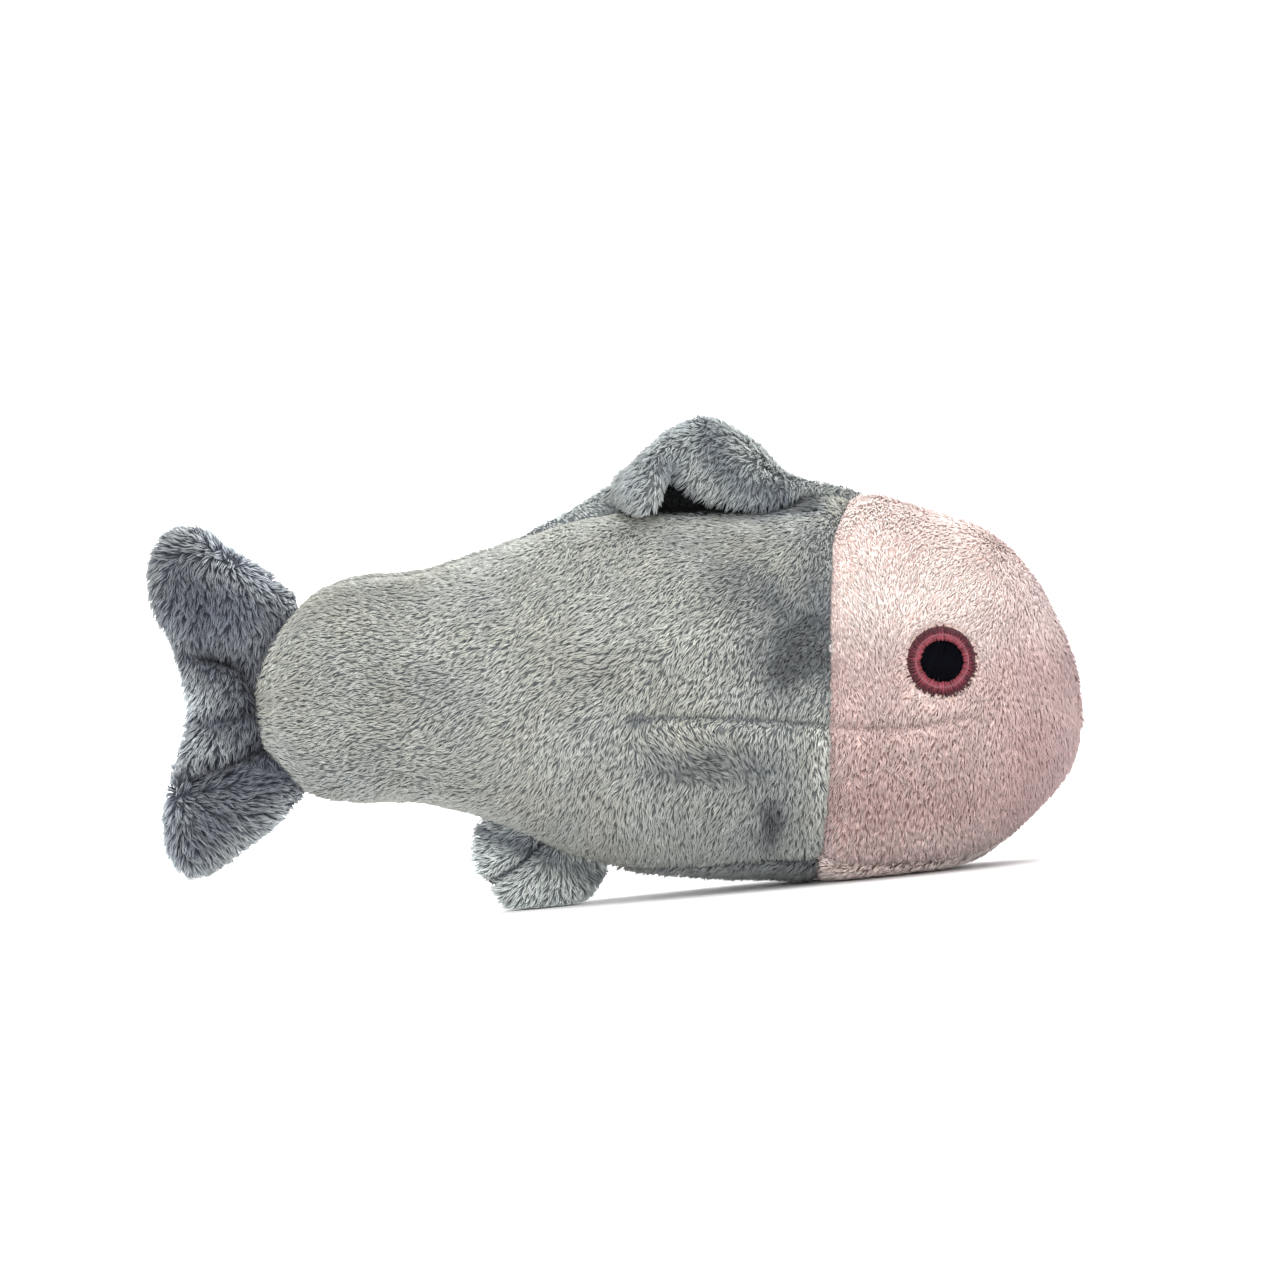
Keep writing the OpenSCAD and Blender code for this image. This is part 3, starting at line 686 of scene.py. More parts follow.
PINK_THREAD = thread_material("dusty_pink_thread", srgb(190, 150, 146), srgb(214, 178, 172), .2, .5)
FIBRE = fibre_material("polyester_fibre", srgb(240, 240, 236), srgb(205, 205, 200))
BACKING = fibre_material("stabiliser_felt", srgb(236, 235, 230), srgb(214, 212, 206))

# ---------------------------------------------------------------- body: cloth and pile
last = len(ST_ROWS) - 1
PANELS = [
    ("flank_right", "side", 0, I_NECK, -1, "flank_panel_right"), ("flank_left", "side", 0, I_NECK, 1, "flank_panel_left"),
    ("head_right", "side", I_NECK, last, -1, "head_panel_right"), ("head_left", "side", I_NECK, last, 1, "head_panel_left"),
    ("belly", "gusset", I_A, I_NECK, 0, "belly_gusset"), ("chin", "gusset", I_NECK, I_B, 0, "chin_gusset"),
]


def flow_field(p, side, head):
    """Forward and upward parts of the lie of the pile, by place on the toy."""
    x, z = p[:, 0], p[:, 2]
    q = np.stack([x, z * 0 + side * 40, z], -1)
    if head:
        deg = 292 - 30 * smooth(42, 56, x) - 24 * smooth(54, 64, x) + 30 * smooth(66, 78, x)
        deg = deg + (262 - deg) * smooth(4, -8, z)
        ang = np.radians(deg + 12 * noise(q, 14, 21) + 6 * noise(q, 6, 22))
    else:
        # from lying back along the tail end to hanging straight down near the belly and the neck
        rear = 1 - smooth(-50, -5, x)
        low = smooth(10, -22, z) * smooth(-30, 0, x)
        front = smooth(15, 38, x)
        deg = 186 + 38 * (1 - rear) + 30 * low + 16 * front + 30 * noise(q, 20, 23) + 26 * noise(q, 8, 24)
        # under the dart the pile is brushed forward, in the shape of a leaf
        u, v = (x - 15.5) / 12.5, (z + 9.3 + .16 * (x - 15.5)) / 5.4
        leaf = smooth(1.35, .65, u * u + v * v) * (1 - .6 * smooth(17, 27, x))
        brushed = 306 + 42 * smooth(6, 24, x) * smooth(-5, -11, z)
        deg = deg + (brushed - deg) * leaf
        # and straight down beside the neck
        deg = deg + (268 - deg) * smooth(26, 33, x) * smooth(-4, -10, z)
        ang = np.radians(deg)
    return np.cos(ang), np.sin(ang)


def seam_quiet(s):
    """Shorter pile close to the seams."""
    x, z, y = s["p"][:, 0], s["p"][:, 2], s["p"][:, 1]
    neck = np.abs(x - NECK_X - neck_shift(np.full_like(x, NECK_X), z))
    d, t = polyline_distance(x, z, DART)
    d = np.where((np.abs(y) > 10), d, 9)
    q = np.minimum(np.minimum(neck, s["s_back"]), np.minimum(s["s_belly"], d))
    return q, neck, d, t


GRIDS = {}
def fade_ends(t):
    return smooth(0, .06, t) * (1 - smooth(.94, 1, t))


for (name, kind, i0, i1, side, node) in PANELS:
    g = body_grid(kind, i0, i1, side)
    GRIDS[name] = g
    head = name.startswith(("head", "chin"))
    skin = shell("cloth_" + name, g, .55, flip=(kind == "side" and side < 0))
    skin.data.materials.append(PINK_CLOTH if head else GREY_CLOTH)
    if not head:
        hx, hy, hz = g["p"].reshape(-1, 3).T
        # painted shadow on the cloth under the fold of the dorsal fin
        fold_shadow_mask = smooth(14.6, 11.6, -hy) * (hy < 1.5) * smooth(34.4, 35.6, hz) * smooth(6.4, 9.2, hx) * (1 - smooth(26, 33, hx))
        fold_shade(skin, np.concatenate([fold_shadow_mask, fold_shadow_mask]))
    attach(skin, "body")
    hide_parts(node)

    def keep(s):
        e = np.hypot(s["p"][:, 0] - EYE[0], s["p"][:, 2] - EYE[1])
        return ~((e < EYE_R - .1) & (np.abs(s["p"][:, 1]) > 10))
    s = scatter(g, 5.6, keep)
    q, neck, d, t = seam_quiet(s)
    x, y, z = s["p"].T
    sd = np.where(y < 0, -1.0, 1.0)
    if kind == "side":
        fx, fz = flow_field(s["p"], sd, head)
    else:
        fx, fz = np.full(len(x), -1.0), 1.1 * noise(s["p"], 5, 31)
        # across the gusset the grid runs from right to left
    rear = 1 - smooth(-35, 10, x)
    length = (2.3 - .35 * rear) * (1 - .38 * np.exp(-(q / 1.1) ** 2))
    rise = .54 - .04 * rear - (0 if head else .13) * smooth(8, 30, z)
    if head:
        length = length + .25
        rise -= .06 + .13 * smooth(5, 28, z) + .08 * smooth(66, 80, x) - .08 * smooth(1, -9, z) * (1 - smooth(58, 74, x))
        e = np.hypot(x - EYE[0], z - EYE[1])
        length = length * (1 - .3 * np.exp(-((e - EYE_R) / 1.6) ** 2) * (np.abs(y) > 10))
    # painted shade in the seam valleys
    shade = 1 - .30 * np.exp(-(q / .85) ** 2) * (1 - .6 * head)
    coarse = smooth(2, -8, z) * (1 - smooth(58, 74, x)) if head else .5 * smooth(0, -18, z) * smooth(-20, 0, x)
    # painted light and shade by height: lighter roots on the top, darker roots low down
    root_light = 1.35 * smooth(0, 20, z) - .8 * smooth(2, -9, z) * (1 - smooth(60, 76, x)) if head else .9 * smooth(2, 24, z)
    # painted shade on the belly gusset, deeper towards the neck, with some random tone; painted light on the chin
    # gusset
    if name == "belly":
        shade *= (.78 + .18 * noise(s["p"], 4, 42)) * (1 - .34 * smooth(24, 38, x))
        rise = rise + .26
    elif name == "chin":
        shade *= 1.22 + .06 * noise(s["p"], 4, 42)
        rise = rise + .14 * (1 - smooth(60, 70, x))
    if not head:
        # painted shade in the belly seams' valleys
        shade *= 1 - .30 * np.exp(-(s["s_belly"] / .8) ** 2)
    if not head:
        # painted shade: where the nap lies the other way it looks darker, and that darkness is painted into the pile
        def spot(cx, cz, rx, rz):
            return np.exp(-(((x - cx) / rx) ** 2 + ((z - cz) / rz) ** 2))
        dark = 1.15 * spot(33, 8.0, 8.0, 7.0) + .75 * spot(39.5, 11, 4, 9) + .45 * spot(33, 17, 9, 8) + .45 * spot(24, 22, 9, 6) + .5 * spot(38.5, 27, 3.5, 7) + 1.05 * spot(29.8, -22, 2.0, 4.2) + .30 * spot(28, -20, 6, 7)
        dark += .95 * spot(15.5, -11.6, 9, 3.4) + .45 * spot(23, -9.5, 8, 3.6) + .34 * spot(34, -14, 7, 8) - .30 * spot(39, -16, 2.2, 14)
        # shadow under the fold of the dorsal fin
        dark += 1.2 * smooth(34.4, 36.0, z) * smooth(1, 9, x) * (1 - smooth(38, 42, x)) * smooth(-.5, -2.5, y) + .28 * spot(-33, 3, 7, 5) + .22 * spot(-3, 5, 12, 6) + .25 * spot(12, 32, 16, 3.5)
        dark = np.clip(dark, 0, None) * (1 + .5 * noise(s["p"], 5, 41))
        root_light = root_light * (1 - np.clip(dark, 0, 1)) - .9 * np.clip(dark, 0, 1)
        coarse = np.clip(np.maximum(coarse, dark), 0, 1)
        shade *= 1 - .53 * np.clip(dark, 0, 1.3)
        # painted shade in the pucker where the dart ends
        shade *= 1 - .55 * spot(4.4, -3.1, 2.4, .9) * (np.abs(y) > 10)
        # painted highlight along a fold of pile beside the neck seam
        shade *= 1 + .16 * spot(38.4, -14, 1.3, 9)
        # painted shadow on the pile under the fold of the dorsal fin
        shade *= 1 - .30 * smooth(16, 12.5, -y) * (y < 0) * smooth(32.5, 34.5, z) * smooth(6, 12, x) * (1 - smooth(30, 36, x))
        shade *= 1 - .96 * smooth(14.0, 11.4, -y) * (y < 1.5) * smooth(34.6, 35.8, z) * smooth(6.4, 9.4, x) * (1 - smooth(23, 31, x))
        # painted shade: darker towards the bottom, the rear and the top, and in the dart's crease, with some random
        # tone
        shade *= 1.02 + .06 * noise(s["p"], 15, 43) - .17 * smooth(-4, -26, z)
        shade *= .93 * (1 - .11 * smooth(-28, -48, x)) * (1 - .10 * smooth(12, 28, z))
        shade *= 1 - .20 * np.exp(-(d / .75) ** 2) * fade_ends(t)
        # painted highlight: a lighter rim round the tail end
        shade *= 1 + .16 * smooth(-60, -66, x)
    else:
        # painted light and shade on the head: darker towards the bottom, the front and the top, lighter on the chin
        # and the lower front, with two darker spots and some random tone
        shade *= .99 - .24 * smooth(24, 6, z) - .18 * smooth(3, -27, z) - .15 * smooth(64, 80, x) - .07 * smooth(14, 30, z) - .07 * smooth(25, 36, z) * smooth(44, 54, x)
        shade *= 1 + .16 * smooth(-6, -20, z) * smooth(62, 74, x) + .30 * smooth(-18, -27, z)
        shade *= 1 - .07 * np.exp(-(((x - 77) / 7) ** 2 + ((z - 19) / 8) ** 2)) - .06 * np.exp(-(((x - 46) / 8) ** 2 + ((z - 2) / 6) ** 2))
        shade *= 1 + .05 * noise(s["p"], 10, 44)
    way = s["ti"] * fx[:, None] - s["tj"] * fz[:, None]
    if head:
        # the pile parts round the eye
        out = np.stack([x - EYE[0], 0 * x, z - EYE[1]], -1) / np.maximum(e, .1)[:, None]
        way = way + out * (1.9 * np.exp(-np.clip(e - EYE_R, 0, None) / 1.3) * (np.abs(y) > 10))[:, None]
    fur = tufts("pile_" + name, s, way, length, rise, "body", PINK_FUR if head else GREY_FUR, shade, width=(.15 if head else .14) * (1 + .10 * coarse),
                clump=.44 + .30 * coarse - .12 * smooth(6, 22, z) if head else .50 + .22 * coarse - .24 * smooth(8, 26, z), per_clump=4.9, root_light=root_light, locks=1 - .55 * coarse)


# ---------------------------------------------------------------- fins
def inside_distance(x, z, outline):
    return polyline_distance(x, z, outline)[0]


def rim(d, w):
    """Half thickness of a stuffed fin from 0 to 1, by distance to its sewn edge."""
    t = np.clip(d / w, 0, 1)
    return np.sqrt(np.clip(1 - (1 - t) ** 2, 0, 1))


def crease(x, z, line, depth, width):
    d, t = polyline_distance(x, z, line)
    return depth * np.exp(-(d / width) ** 2) * smooth(1.02, .7, t)


def two_sides(mid, nrm, half_right, half_left):
    """Both faces of a fin as grids: the right one lies along nrm."""
    out = []
    for sgn, half in ((1, half_right), (-1, half_left)):
        p = mid + nrm * (sgn * half)[..., None]
        ti, tj, n = grid_frame(p)
        n = np.where((n * nrm * sgn).sum(-1, keepdims=True) < 0, -n, n)
        out.append(dict(p=p, ti=ti, tj=tj, n=n))
    return out


def fin_mesh(name, right, left, material, open_edge):
    """One closed stuffed mesh from two faces, closed by strips round all four edges. open_edge is not used."""
    a, b = right["p"], left["p"]
    ni, nj = a.shape[:2]
    o = ni * nj
    verts = np.concatenate([a.reshape(-1, 3), b.reshape(-1, 3)])
    quads = [grid_quads(ni, nj, 0, False), grid_quads(ni, nj, o, True)]

    def strip(ring):
        ring = np.asarray(ring)
        return np.stack([ring[:-1], ring[:-1] + o, ring[1:] + o, ring[1:]], -1)
    walls = [strip(np.arange(nj)), strip(((ni - 1) * nj + np.arange(nj))[::-1]),
             strip((np.arange(ni) * nj)[::-1]), strip(np.arange(ni) * nj + nj - 1)]
    walls = np.concatenate(walls)
    quads = np.concatenate(quads + [walls])
    iu, ju = np.divmod(np.arange(o), nj)
    uv0 = np.stack([.01 + .47 * iu / (ni - 1), .03 + .96 * ju / (nj - 1)], -1)
    vuv = np.concatenate([uv0, uv0 + [.51, 0]])
    uv = vuv[quads.ravel()].reshape(-1, 4, 2)
    nw = len(walls)
    k = np.arange(nw)
    u0, u1 = .01 + .98 * k / nw, .01 + .98 * (k + .9) / nw
    uv[-nw:] = np.stack([np.stack([u0, k * 0 + .002], -1), np.stack([u1, k * 0 + .002], -1), np.stack([u1, k * 0 + .018], -1), np.stack([u0, k * 0 + .018], -1)], 1)
    # put the outside outside
    p0, p1, p2 = verts[quads[:, 0]], verts[quads[:, 1]], verts[quads[:, 2]]
    p3 = verts[quads[:, 3]]
    c = (p0 + p2) / 2
    vol = (np.cross(p1 - p0, p2 - p0) * c).sum() + (np.cross(p2 - p0, p3 - p0) * c).sum()
    if vol < 0:
        quads, uv = quads[:, ::-1], uv[:, ::-1]
    ob = mesh_from(name, rest_on_floor(place(verts), .0012), quads, None, uv.reshape(-1, 2))
    ob.data.materials.append(material)
    return ob


def outline_rows(left, right, n, m, power=1.0):
    """A grid between two edges given top to bottom as (x, z) points, with rows bunched at both ends."""
    left, right = np.asarray(left, float), np.asarray(right, float)
    t = (1 - np.cos(np.linspace(0, np.pi, n))) / 2

    def walk(line):
        fine = spline(line, 14)
        run = np.concatenate([[0], np.cumsum(np.linalg.norm(np.diff(fine, axis=0), axis=1))])
        return fine, run / run[-1]
    lf, lr = walk(left)
    rf, rr = walk(right)
    z0, z1 = left[0][1], left[-1][1]
    zz = z0 + (z1 - z0) * t
    lx = np.interp(-zz, -lf[:, 1], lf[:, 0])
    rx = np.interp(-zz, -rf[:, 1], rf[:, 0])
    j = (1 - np.cos(np.linspace(0, np.pi, m))) / 2
    j = .55 * j + .45 * np.linspace(0, 1, m)
    return lx[:, None] + (rx - lx)[:, None] * j[None, :], np.broadcast_to(zz[:, None], (n, m)).copy()


def lean_out(v, out, edge, width, amount):
    """Turns the lie of the pile outwards near a sewn edge."""
    w = np.exp(-edge / width)[:, None]
    inward = np.minimum((v * out).sum(-1, keepdims=True), 0)
    return v - out * inward * w + out * amount * w


def fin_pile(name, grids, body, density, length, rise, material, way, shade, width=.15, keep=None, per_clump=4.4, clump=.62, root_light=None):
    made = []
    for label, g in grids:
        s = scatter(g, density, keep)
        made += tufts(name + "_" + label, s, way(s), length(s), rise(s), body, material, shade(s), width=width, per_clump=per_clump, clump=clump, root_light=None if root_light is None else root_light(s),
                      finish=lambda ob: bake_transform(ob))
    return made


def row(p):
    return tuple(place(p))


# tail: two lobes, sewn into the end of the body
TAIL_BACK = [(-81.9, 32.2), (-84.6, 31.7), (-87.6, 28.2), (-88.6, 23), (-87.5, 17.3), (-85.3, 13), (-83.6, 9), (-82.2, 4), (-81.2, -2),
             (-82.2, -8), (-84.2, -15), (-85.7, -22.5), (-85.2, -28.6), (-83.4, -31.8), (-81.4, -33.0)]
TAIL_FRONT = [(-81.7, 32.2), (-78.8, 31.6), (-74.6, 28.2), (-68, 24.1), (-61.8, 19.9), (-61.8, 13.6), (-64.5, 8), (-66, 3), (-66, -3),
              (-64.2, -8), (-61.2, -13), (-59.8, -17.6), (-65.5, -23), (-72.3, -28), (-77.6, -31.9), (-81.2, -33.0)]
x, z = outline_rows(TAIL_BACK, TAIL_FRONT, 90, 44)
_edge = [(a, b) for a, b in spline(TAIL_BACK, 4)] + [(a, b) for a, b in spline(TAIL_FRONT[::-1], 4)]
_free = [(a, b) for a, b in spline(TAIL_FRONT[:5], 4)][::-1] + [(a, b) for a, b in spline(TAIL_BACK, 4)] + [(a, b) for a, b in spline(TAIL_FRONT[11:], 4)][::-1]
d = inside_distance(x, z, _free)
lobe = smooth(4, 20, np.abs(z + .5))
plump = (2.3 + 1.5 * lobe) * rim(d, 5.5)
plump *= 1 - .35 * smooth(-72, -64, x)
q3 = np.stack([x, 0 * x, z], -1)
lumps = (.35 * noise(q3, 9, 51) + .2 * noise(q3, 4.5, 52)) * rim(d, 3)
UPPER_CREASE = [(-67, -2), (-70.2, 2.5), (-73, 7.2), (-78.6, 8.8), (-84.5, 9.6)]
LOWER_CREASE = [(-66.5, -8), (-69, -9.2), (-74.6, -12.7), (-80, -14.6), (-83.2, -16.6)]
MIDDLE_CREASE = [(-69, -2.0), (-73, -2.6), (-79, -3.4)]
cr = crease(x, z, UPPER_CREASE, 2.3, 1.5) + crease(x, z, LOWER_CREASE, 2.6, 1.5) + crease(x, z, MIDDLE_CREASE, .9, 1.1)
half_r = np.maximum(plump + lumps - cr * rim(d, 4), .12)
cl = crease(x, z, [(-66, 6), (-73, 8.6), (-79, 9.8)], 1.2, 1.2) + crease(x, z, [(-64.5, -7.5), (-72, -13), (-82, -17)], 1.1, 1.2)
half_l = np.maximum(plump + lumps * .8 - cl * rim(d, 4), .12)
edge_r = (d < .02)
half_r[edge_r] = half_l[edge_r] = .10
bend = -1.3 * smooth(14, 33, z) * smooth(-60, -88, x) + .9 * smooth(-14, -33, z) * smooth(-60, -86, x) + .5 * noise(q3, 14, 53) * smooth(-64, -74, x)
mid = np.stack([x, bend, z], -1)
nrm = np.zeros_like(mid)
nrm[..., 1] = -1
TR, TL = two_sides(mid, nrm, half_r, half_l)
for g in (TR, TL):
    g["edge"] = d
tail_cloth = fin_mesh("cloth_tail", TR, TL, DARK_CLOTH, None)
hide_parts("tail_panel_right", "tail_panel_left", "tail_filling", "tail_edge_thread")
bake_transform(tail_cloth)


def tail_way(s):
    x, y, z = s["p"].T
    up = z > 0
    ang = np.where(up, 262 - 22 * smooth(10, 26, z) * smooth(-80, -88, x) + 30 * smooth(-80, -68, x) * smooth(12, 18, z),
                   262 + (np.degrees(np.arctan2((z + 17) * .9, x + 88)) - 262 + 360) * smooth(-11, -15, z))
    ang = ang - 80 * smooth(23, 32, z)
    ang = np.radians(ang + 24 * noise(s["p"], 8, 55) + 14 * noise(s["p"], 4, 56))
    v = np.stack([np.cos(ang), 0 * x, np.sin(ang)], -1)
    # the pile stands out over the sewn edge
    out = unit(np.stack([s["n"][:, 0], 0 * x, s["n"][:, 2]], -1) + 1e-6)
    return lean_out(v, out, s["edge"], 1.4, (1.1 - .4 * smooth(22, 28, z))[:, None])


def tail_shade(s):
    x, y, z = s["p"].T
    light = .68 + 1.10 * np.exp(-(s["edge"] / 3.2) ** 2) * np.where(z > 10, .35 + .65 * smooth(-86, -78, x), .8)
    for line, w, k in ((LOWER_CREASE, 2.2, .84), (UPPER_CREASE, 1.9, .80), (MIDDLE_CREASE, 1.3, .62)):
        light *= 1 - k * np.exp(-(polyline_distance(x, z, line)[0] / w) ** 2) * (1 - .75 * np.exp(-s["edge"] / 1.6))
    # lighter wrinkled middle, darker hearts of the lobes
    light *= 1 + .66 * np.exp(-(((x + 78.6) / 4.2) ** 2 + ((z - .8) / 3.0) ** 2)) + .85 * np.exp(-(((x + 75.6) / 3.8) ** 2 + ((z + 8.4) / 2.0) ** 2))
    light *= 1 - .30 * np.exp(-(((x + 80) / 6) ** 2 + ((z - 19) / 7) ** 2)) - .25 * np.exp(-(((x + 69) / 5.5) ** 2 + ((z + 15.5) / 3.2) ** 2))
    # shadow against the end of the body
    arc = np.interp(z, [-20, -14.5, -8, 0, 8, 14, 19.5], [-57.5, -63.6, -67.2, -69.4, -67.2, -63.6, -59.5])
    light *= 1 - .38 * np.exp(-(np.clip(arc - x, 0, None) / 2.0) ** 2) * smooth(22, 14, z)
    return light * (1 + .16 * noise(s["p"], 5, 57))


def not_in_body(s):
    """Nothing grows on the part of a fin that is sewn inside the body."""
    x, y, z = s["p"].T
    arc = np.interp(z, [-20, -14.5, -8, 0, 8, 14, 19.5], [-57.5, -63.6, -67.2, -68.6, -67.2, -63.6, -59.5])
    return x < arc + .6 + 1.6 * smooth(-6, -12, z) + .8 * smooth(8, 13, z)


fin_pile("pile_tail", (("right", TR), ("left", TL)), "tail_fin", 6.2, lambda s: (2.9 - .4 * np.exp(-s["edge"] / 2)) * (1 - .40 * smooth(-69, -62, s["p"][:, 0])),
         lambda s: np.full(len(s["p"]), .56), DARK_FUR, tail_way, tail_shade, width=.132, keep=not_in_body, per_clump=5.2, clump=.72)

# dorsal fin: stands on the back seam and is folded over to the right
# x, height of the fold, height of the free edge, how far the free edge hangs out to the right
DORSAL = [(-18.5, 31.4, 31.2, .1), (-15.5, 33.4, 33.0, .2), (-12.5, 35.0, 34.4, .3), (-9.5, 36.4, 35.2, .4), (-6.5, 38.2, 36.2, .6), (-3.6, 40.0, 37.2, 1.0),
          (-1.0, 41.4, 38.2, 1.4), (0.9, 42.4, 38.0, 2.2), (2.6, 43.7, 36.6, 6.6), (4.2, 45.1, 35.5, 11.4), (6.5, 47.4, 35.4, 13.0), (8.6, 49.2, 36.4, 12.8),
          (10.2, 50.6, 40.8, 11.2), (11.6, 51.6, 42.2, 10.2), (13.4, 52.7, 41.0, 9.6), (16, 53.8, 39.0, 9.4), (19, 53.8, 37.5, 9.6), (22, 52.6, 36.7, 10.0),
          (25, 50.7, 36.3, 10.2), (28, 48.2, 36.2, 10.0), (31, 45.3, 36.5, 9.0), (34, 43.5, 37.8, 6.6), (37, 43.1, 39.6, 3.4), (41, 43.0, 41.0, 1.6),
          (45, 42.3, 40.9, 1.0), (48.5, 40.6, 39.9, .4)]
rows = spline(DORSAL, 4)
nj = 46
t = np.linspace(0, 1, nj)[None, :]
rx = rows[:, 0:1]
top = np.interp(rows[:, 0], _rows[:, 0], _rows[:, 1])[:, None]
base = top - 2.6
tall = np.clip(rows[:, 1:2] - top, .2, None)
half0 = np.clip(.30 * tall, .25, 2.0) * (1 + .25 * np.exp(-((rx - 5) / 4) ** 2)) * (1 + .35 * smooth(33, 38, rx))
crest = rows[:, 1:2] - half0 - 1.25 + .75 * smooth(1, -4, rx)
end = np.minimum(rows[:, 2:3] + .7, crest)
over = rows[:, 3:4]
hh = (crest - .125 * (base + end)) / .75
mm = .16 * over
b0, b1, b2, b3 = (1 - t) ** 3, 3 * (1 - t) ** 2 * t, 3 * (1 - t) * t * t, t ** 3
yy = b1 * mm - b2 * (over + mm * .6) - b3 * over
zz = b0 * base + (b1 + b2) * hh + b3 * end
xx = np.broadcast_to(rx, yy.shape).copy()
# the fin leans back: its free edge trails behind its root
xx = xx - 1.2 * t ** 1.5 * smooth(.5, 8, tall)
mid = np.stack([xx, yy, zz], -1)
ti, tj, _ = grid_frame(mid)
nrm = unit(np.cross(tj, np.array([1.0, 0, 0])))
nrm = np.where(nrm[:, :1, 1:2] > 0, -nrm, nrm)      # starts out to the right, at the root
run = np.concatenate([np.zeros((len(rows), 1)), np.cumsum(np.linalg.norm(np.diff(mid, axis=1), axis=2), axis=1)], 1)
to_edge = run[:, -1:] - run
ends = np.minimum(xx - rows[0, 0], rows[-1, 0] - xx)
d = np.minimum(to_edge, np.clip(ends, 0, None))
puff = half0 * rim(d, 4.2)
q3 = mid
puff_out = puff * 1.08 + (.30 * noise(q3, 8, 61) + .16 * noise(q3, 4, 62)) * rim(d, 3)
puff_in = puff * .85
puff_out = np.maximum(puff_out, .12)
puff_in = np.maximum(puff_in, .12)
puff_out[:, -1] = puff_in[:, -1] = .1
# nrm at the root points right; past the fold that is the side under the flap
DI, DO = two_sides(mid, nrm, puff_in, puff_out)
for g, inner in ((DI, 1.0), (DO, 0.0)):
    g["edge"] = d
    g["root"] = run
    g["dim"] = inner * smooth(3, 7, over + 0 * d)
dorsal_cloth = fin_mesh("cloth_dorsal", DI, DO, GREY_CLOTH, None)
# painted shade on the cloth inside the fold of the dorsal fin
fold_shade(dorsal_cloth, np.concatenate([DI["dim"].ravel(), DO["dim"].ravel()]))
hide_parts("dorsal_panel_right", "dorsal_panel_left", "dorsal_filling", "dorsal_edge_thread")
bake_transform(dorsal_cloth)


def dorsal_way(s):
    x, y, z = s["p"].T
    # backwards and along the cloth towards the free edge
    v = -s["ti"] * .75 + s["tj"] * (.55 + .5 * smooth(8, 26, x))[:, None]
    k = np.radians(34 * noise(s["p"], 7, 65) + 20 * noise(s["p"], 4, 66))
    b = np.cross(s["n"], v)
    v = v * np.cos(k)[:, None] + b * np.sin(k)[:, None]
    return lean_out(v, unit(s["tj"]), s["edge"], 1.4, (1.0 - .85 * smooth(31, 36, x) - .7 * smooth(3, -3, x))[:, None])


def dorsal_shade(s):
    x, y, z = s["p"].T
    light = (1 + .12 * np.exp(-s["edge"] / 2)) * (1 + .12 * noise(s["p"], 6, 67)) * (1 - .14 * np.exp(-(((x - 19) / 5) ** 2 + ((z - 47) / 3.5) ** 2)))
    # dim inside the fold
    light *= 1 - .95 * s["dim"]
    light *= 1 - .46 * np.exp(-(s["edge"] / 1.2) ** 2) * smooth(11, 15, x) * (1 - smooth(30, 34, x))
    light *= 1 - .40 * np.exp(-(polyline_distance(x, z, [(18.5, 49.5), (21, 45), (25, 41.5), (32, 39.8)])[0] / 2.1) ** 2) * (s["dim"] < .1)
    light *= 1 + .14 * np.exp(-(((x - 15) / 4) ** 2 + ((z - 52) / 3) ** 2)) + .14 * np.exp(-(((x - 28) / 5) ** 2 + ((z - 46) / 3) ** 2))
    light *= 1 - .40 * np.exp(-(((x - 10.5) / 3.0) ** 2 + ((z - 44) / 2.6) ** 2)) * (z < 47)
    light *= 1 + .18 * smooth(1, -5, x) + .16 * smooth(36, 40, x) * smooth(41.2, 42.2, z)
    return light


# painted light: lighter roots at both ends of the fin
fin_pile("pile_dorsal", (("under", DI), ("outer", DO)), "dorsal_fin", 5.2, lambda s: (2.5 * smooth(-1.5, 2.6, s["root"] - 2.0) * (1 - .35 * np.exp(-s["edge"] / 1.6)) + .3) * (1 - .22 * smooth(32, 38, s["p"][:, 0]) - .58 * smooth(1, -5, s["p"][:, 0])),
         lambda s: .54 - .24 * smooth(31, 37, s["p"][:, 0]) - .20 * smooth(2, -5, s["p"][:, 0]), FIN_FUR, dorsal_way, dorsal_shade, width=.14, keep=lambda s: s["root"] > 1.2,
         root_light=lambda s: 1.3 * smooth(1, -4, s["p"][:, 0]) + .6 * smooth(35, 39, s["p"][:, 0]))

# pelvic fin: under the belly, with a small rear lobe folded against a larger front one
PF_ROOT = [(-24.6, -21.5), (-20, -23), (-15, -25), (-9, -27.4), (-4, -29.6), (-1.6, -30.8)]
PF_FREE = [(-25.4, -24.2), (-26.3, -27.6), (-26.2, -31.0), (-25.0, -33.8), (-23.3, -35.3), (-22.3, -37.0), (-20.5, -39.0), (-17.3, -40.7), (-13.5, -41.2),
           (-9.6, -40.3), (-6.4, -37.9), (-4.0, -34.9), (-2.2, -32.2)]
ni, nj = 64, 34
ra = spline(PF_ROOT, 12)
fa = spline(PF_FREE, 8)


def along(line, n):
    run = np.concatenate([[0], np.cumsum(np.linalg.norm(np.diff(line, axis=0), axis=1))])
    at = np.linspace(0, run[-1], n)
    return np.stack([np.interp(at, run, line[:, k]) for k in (0, 1)], -1)


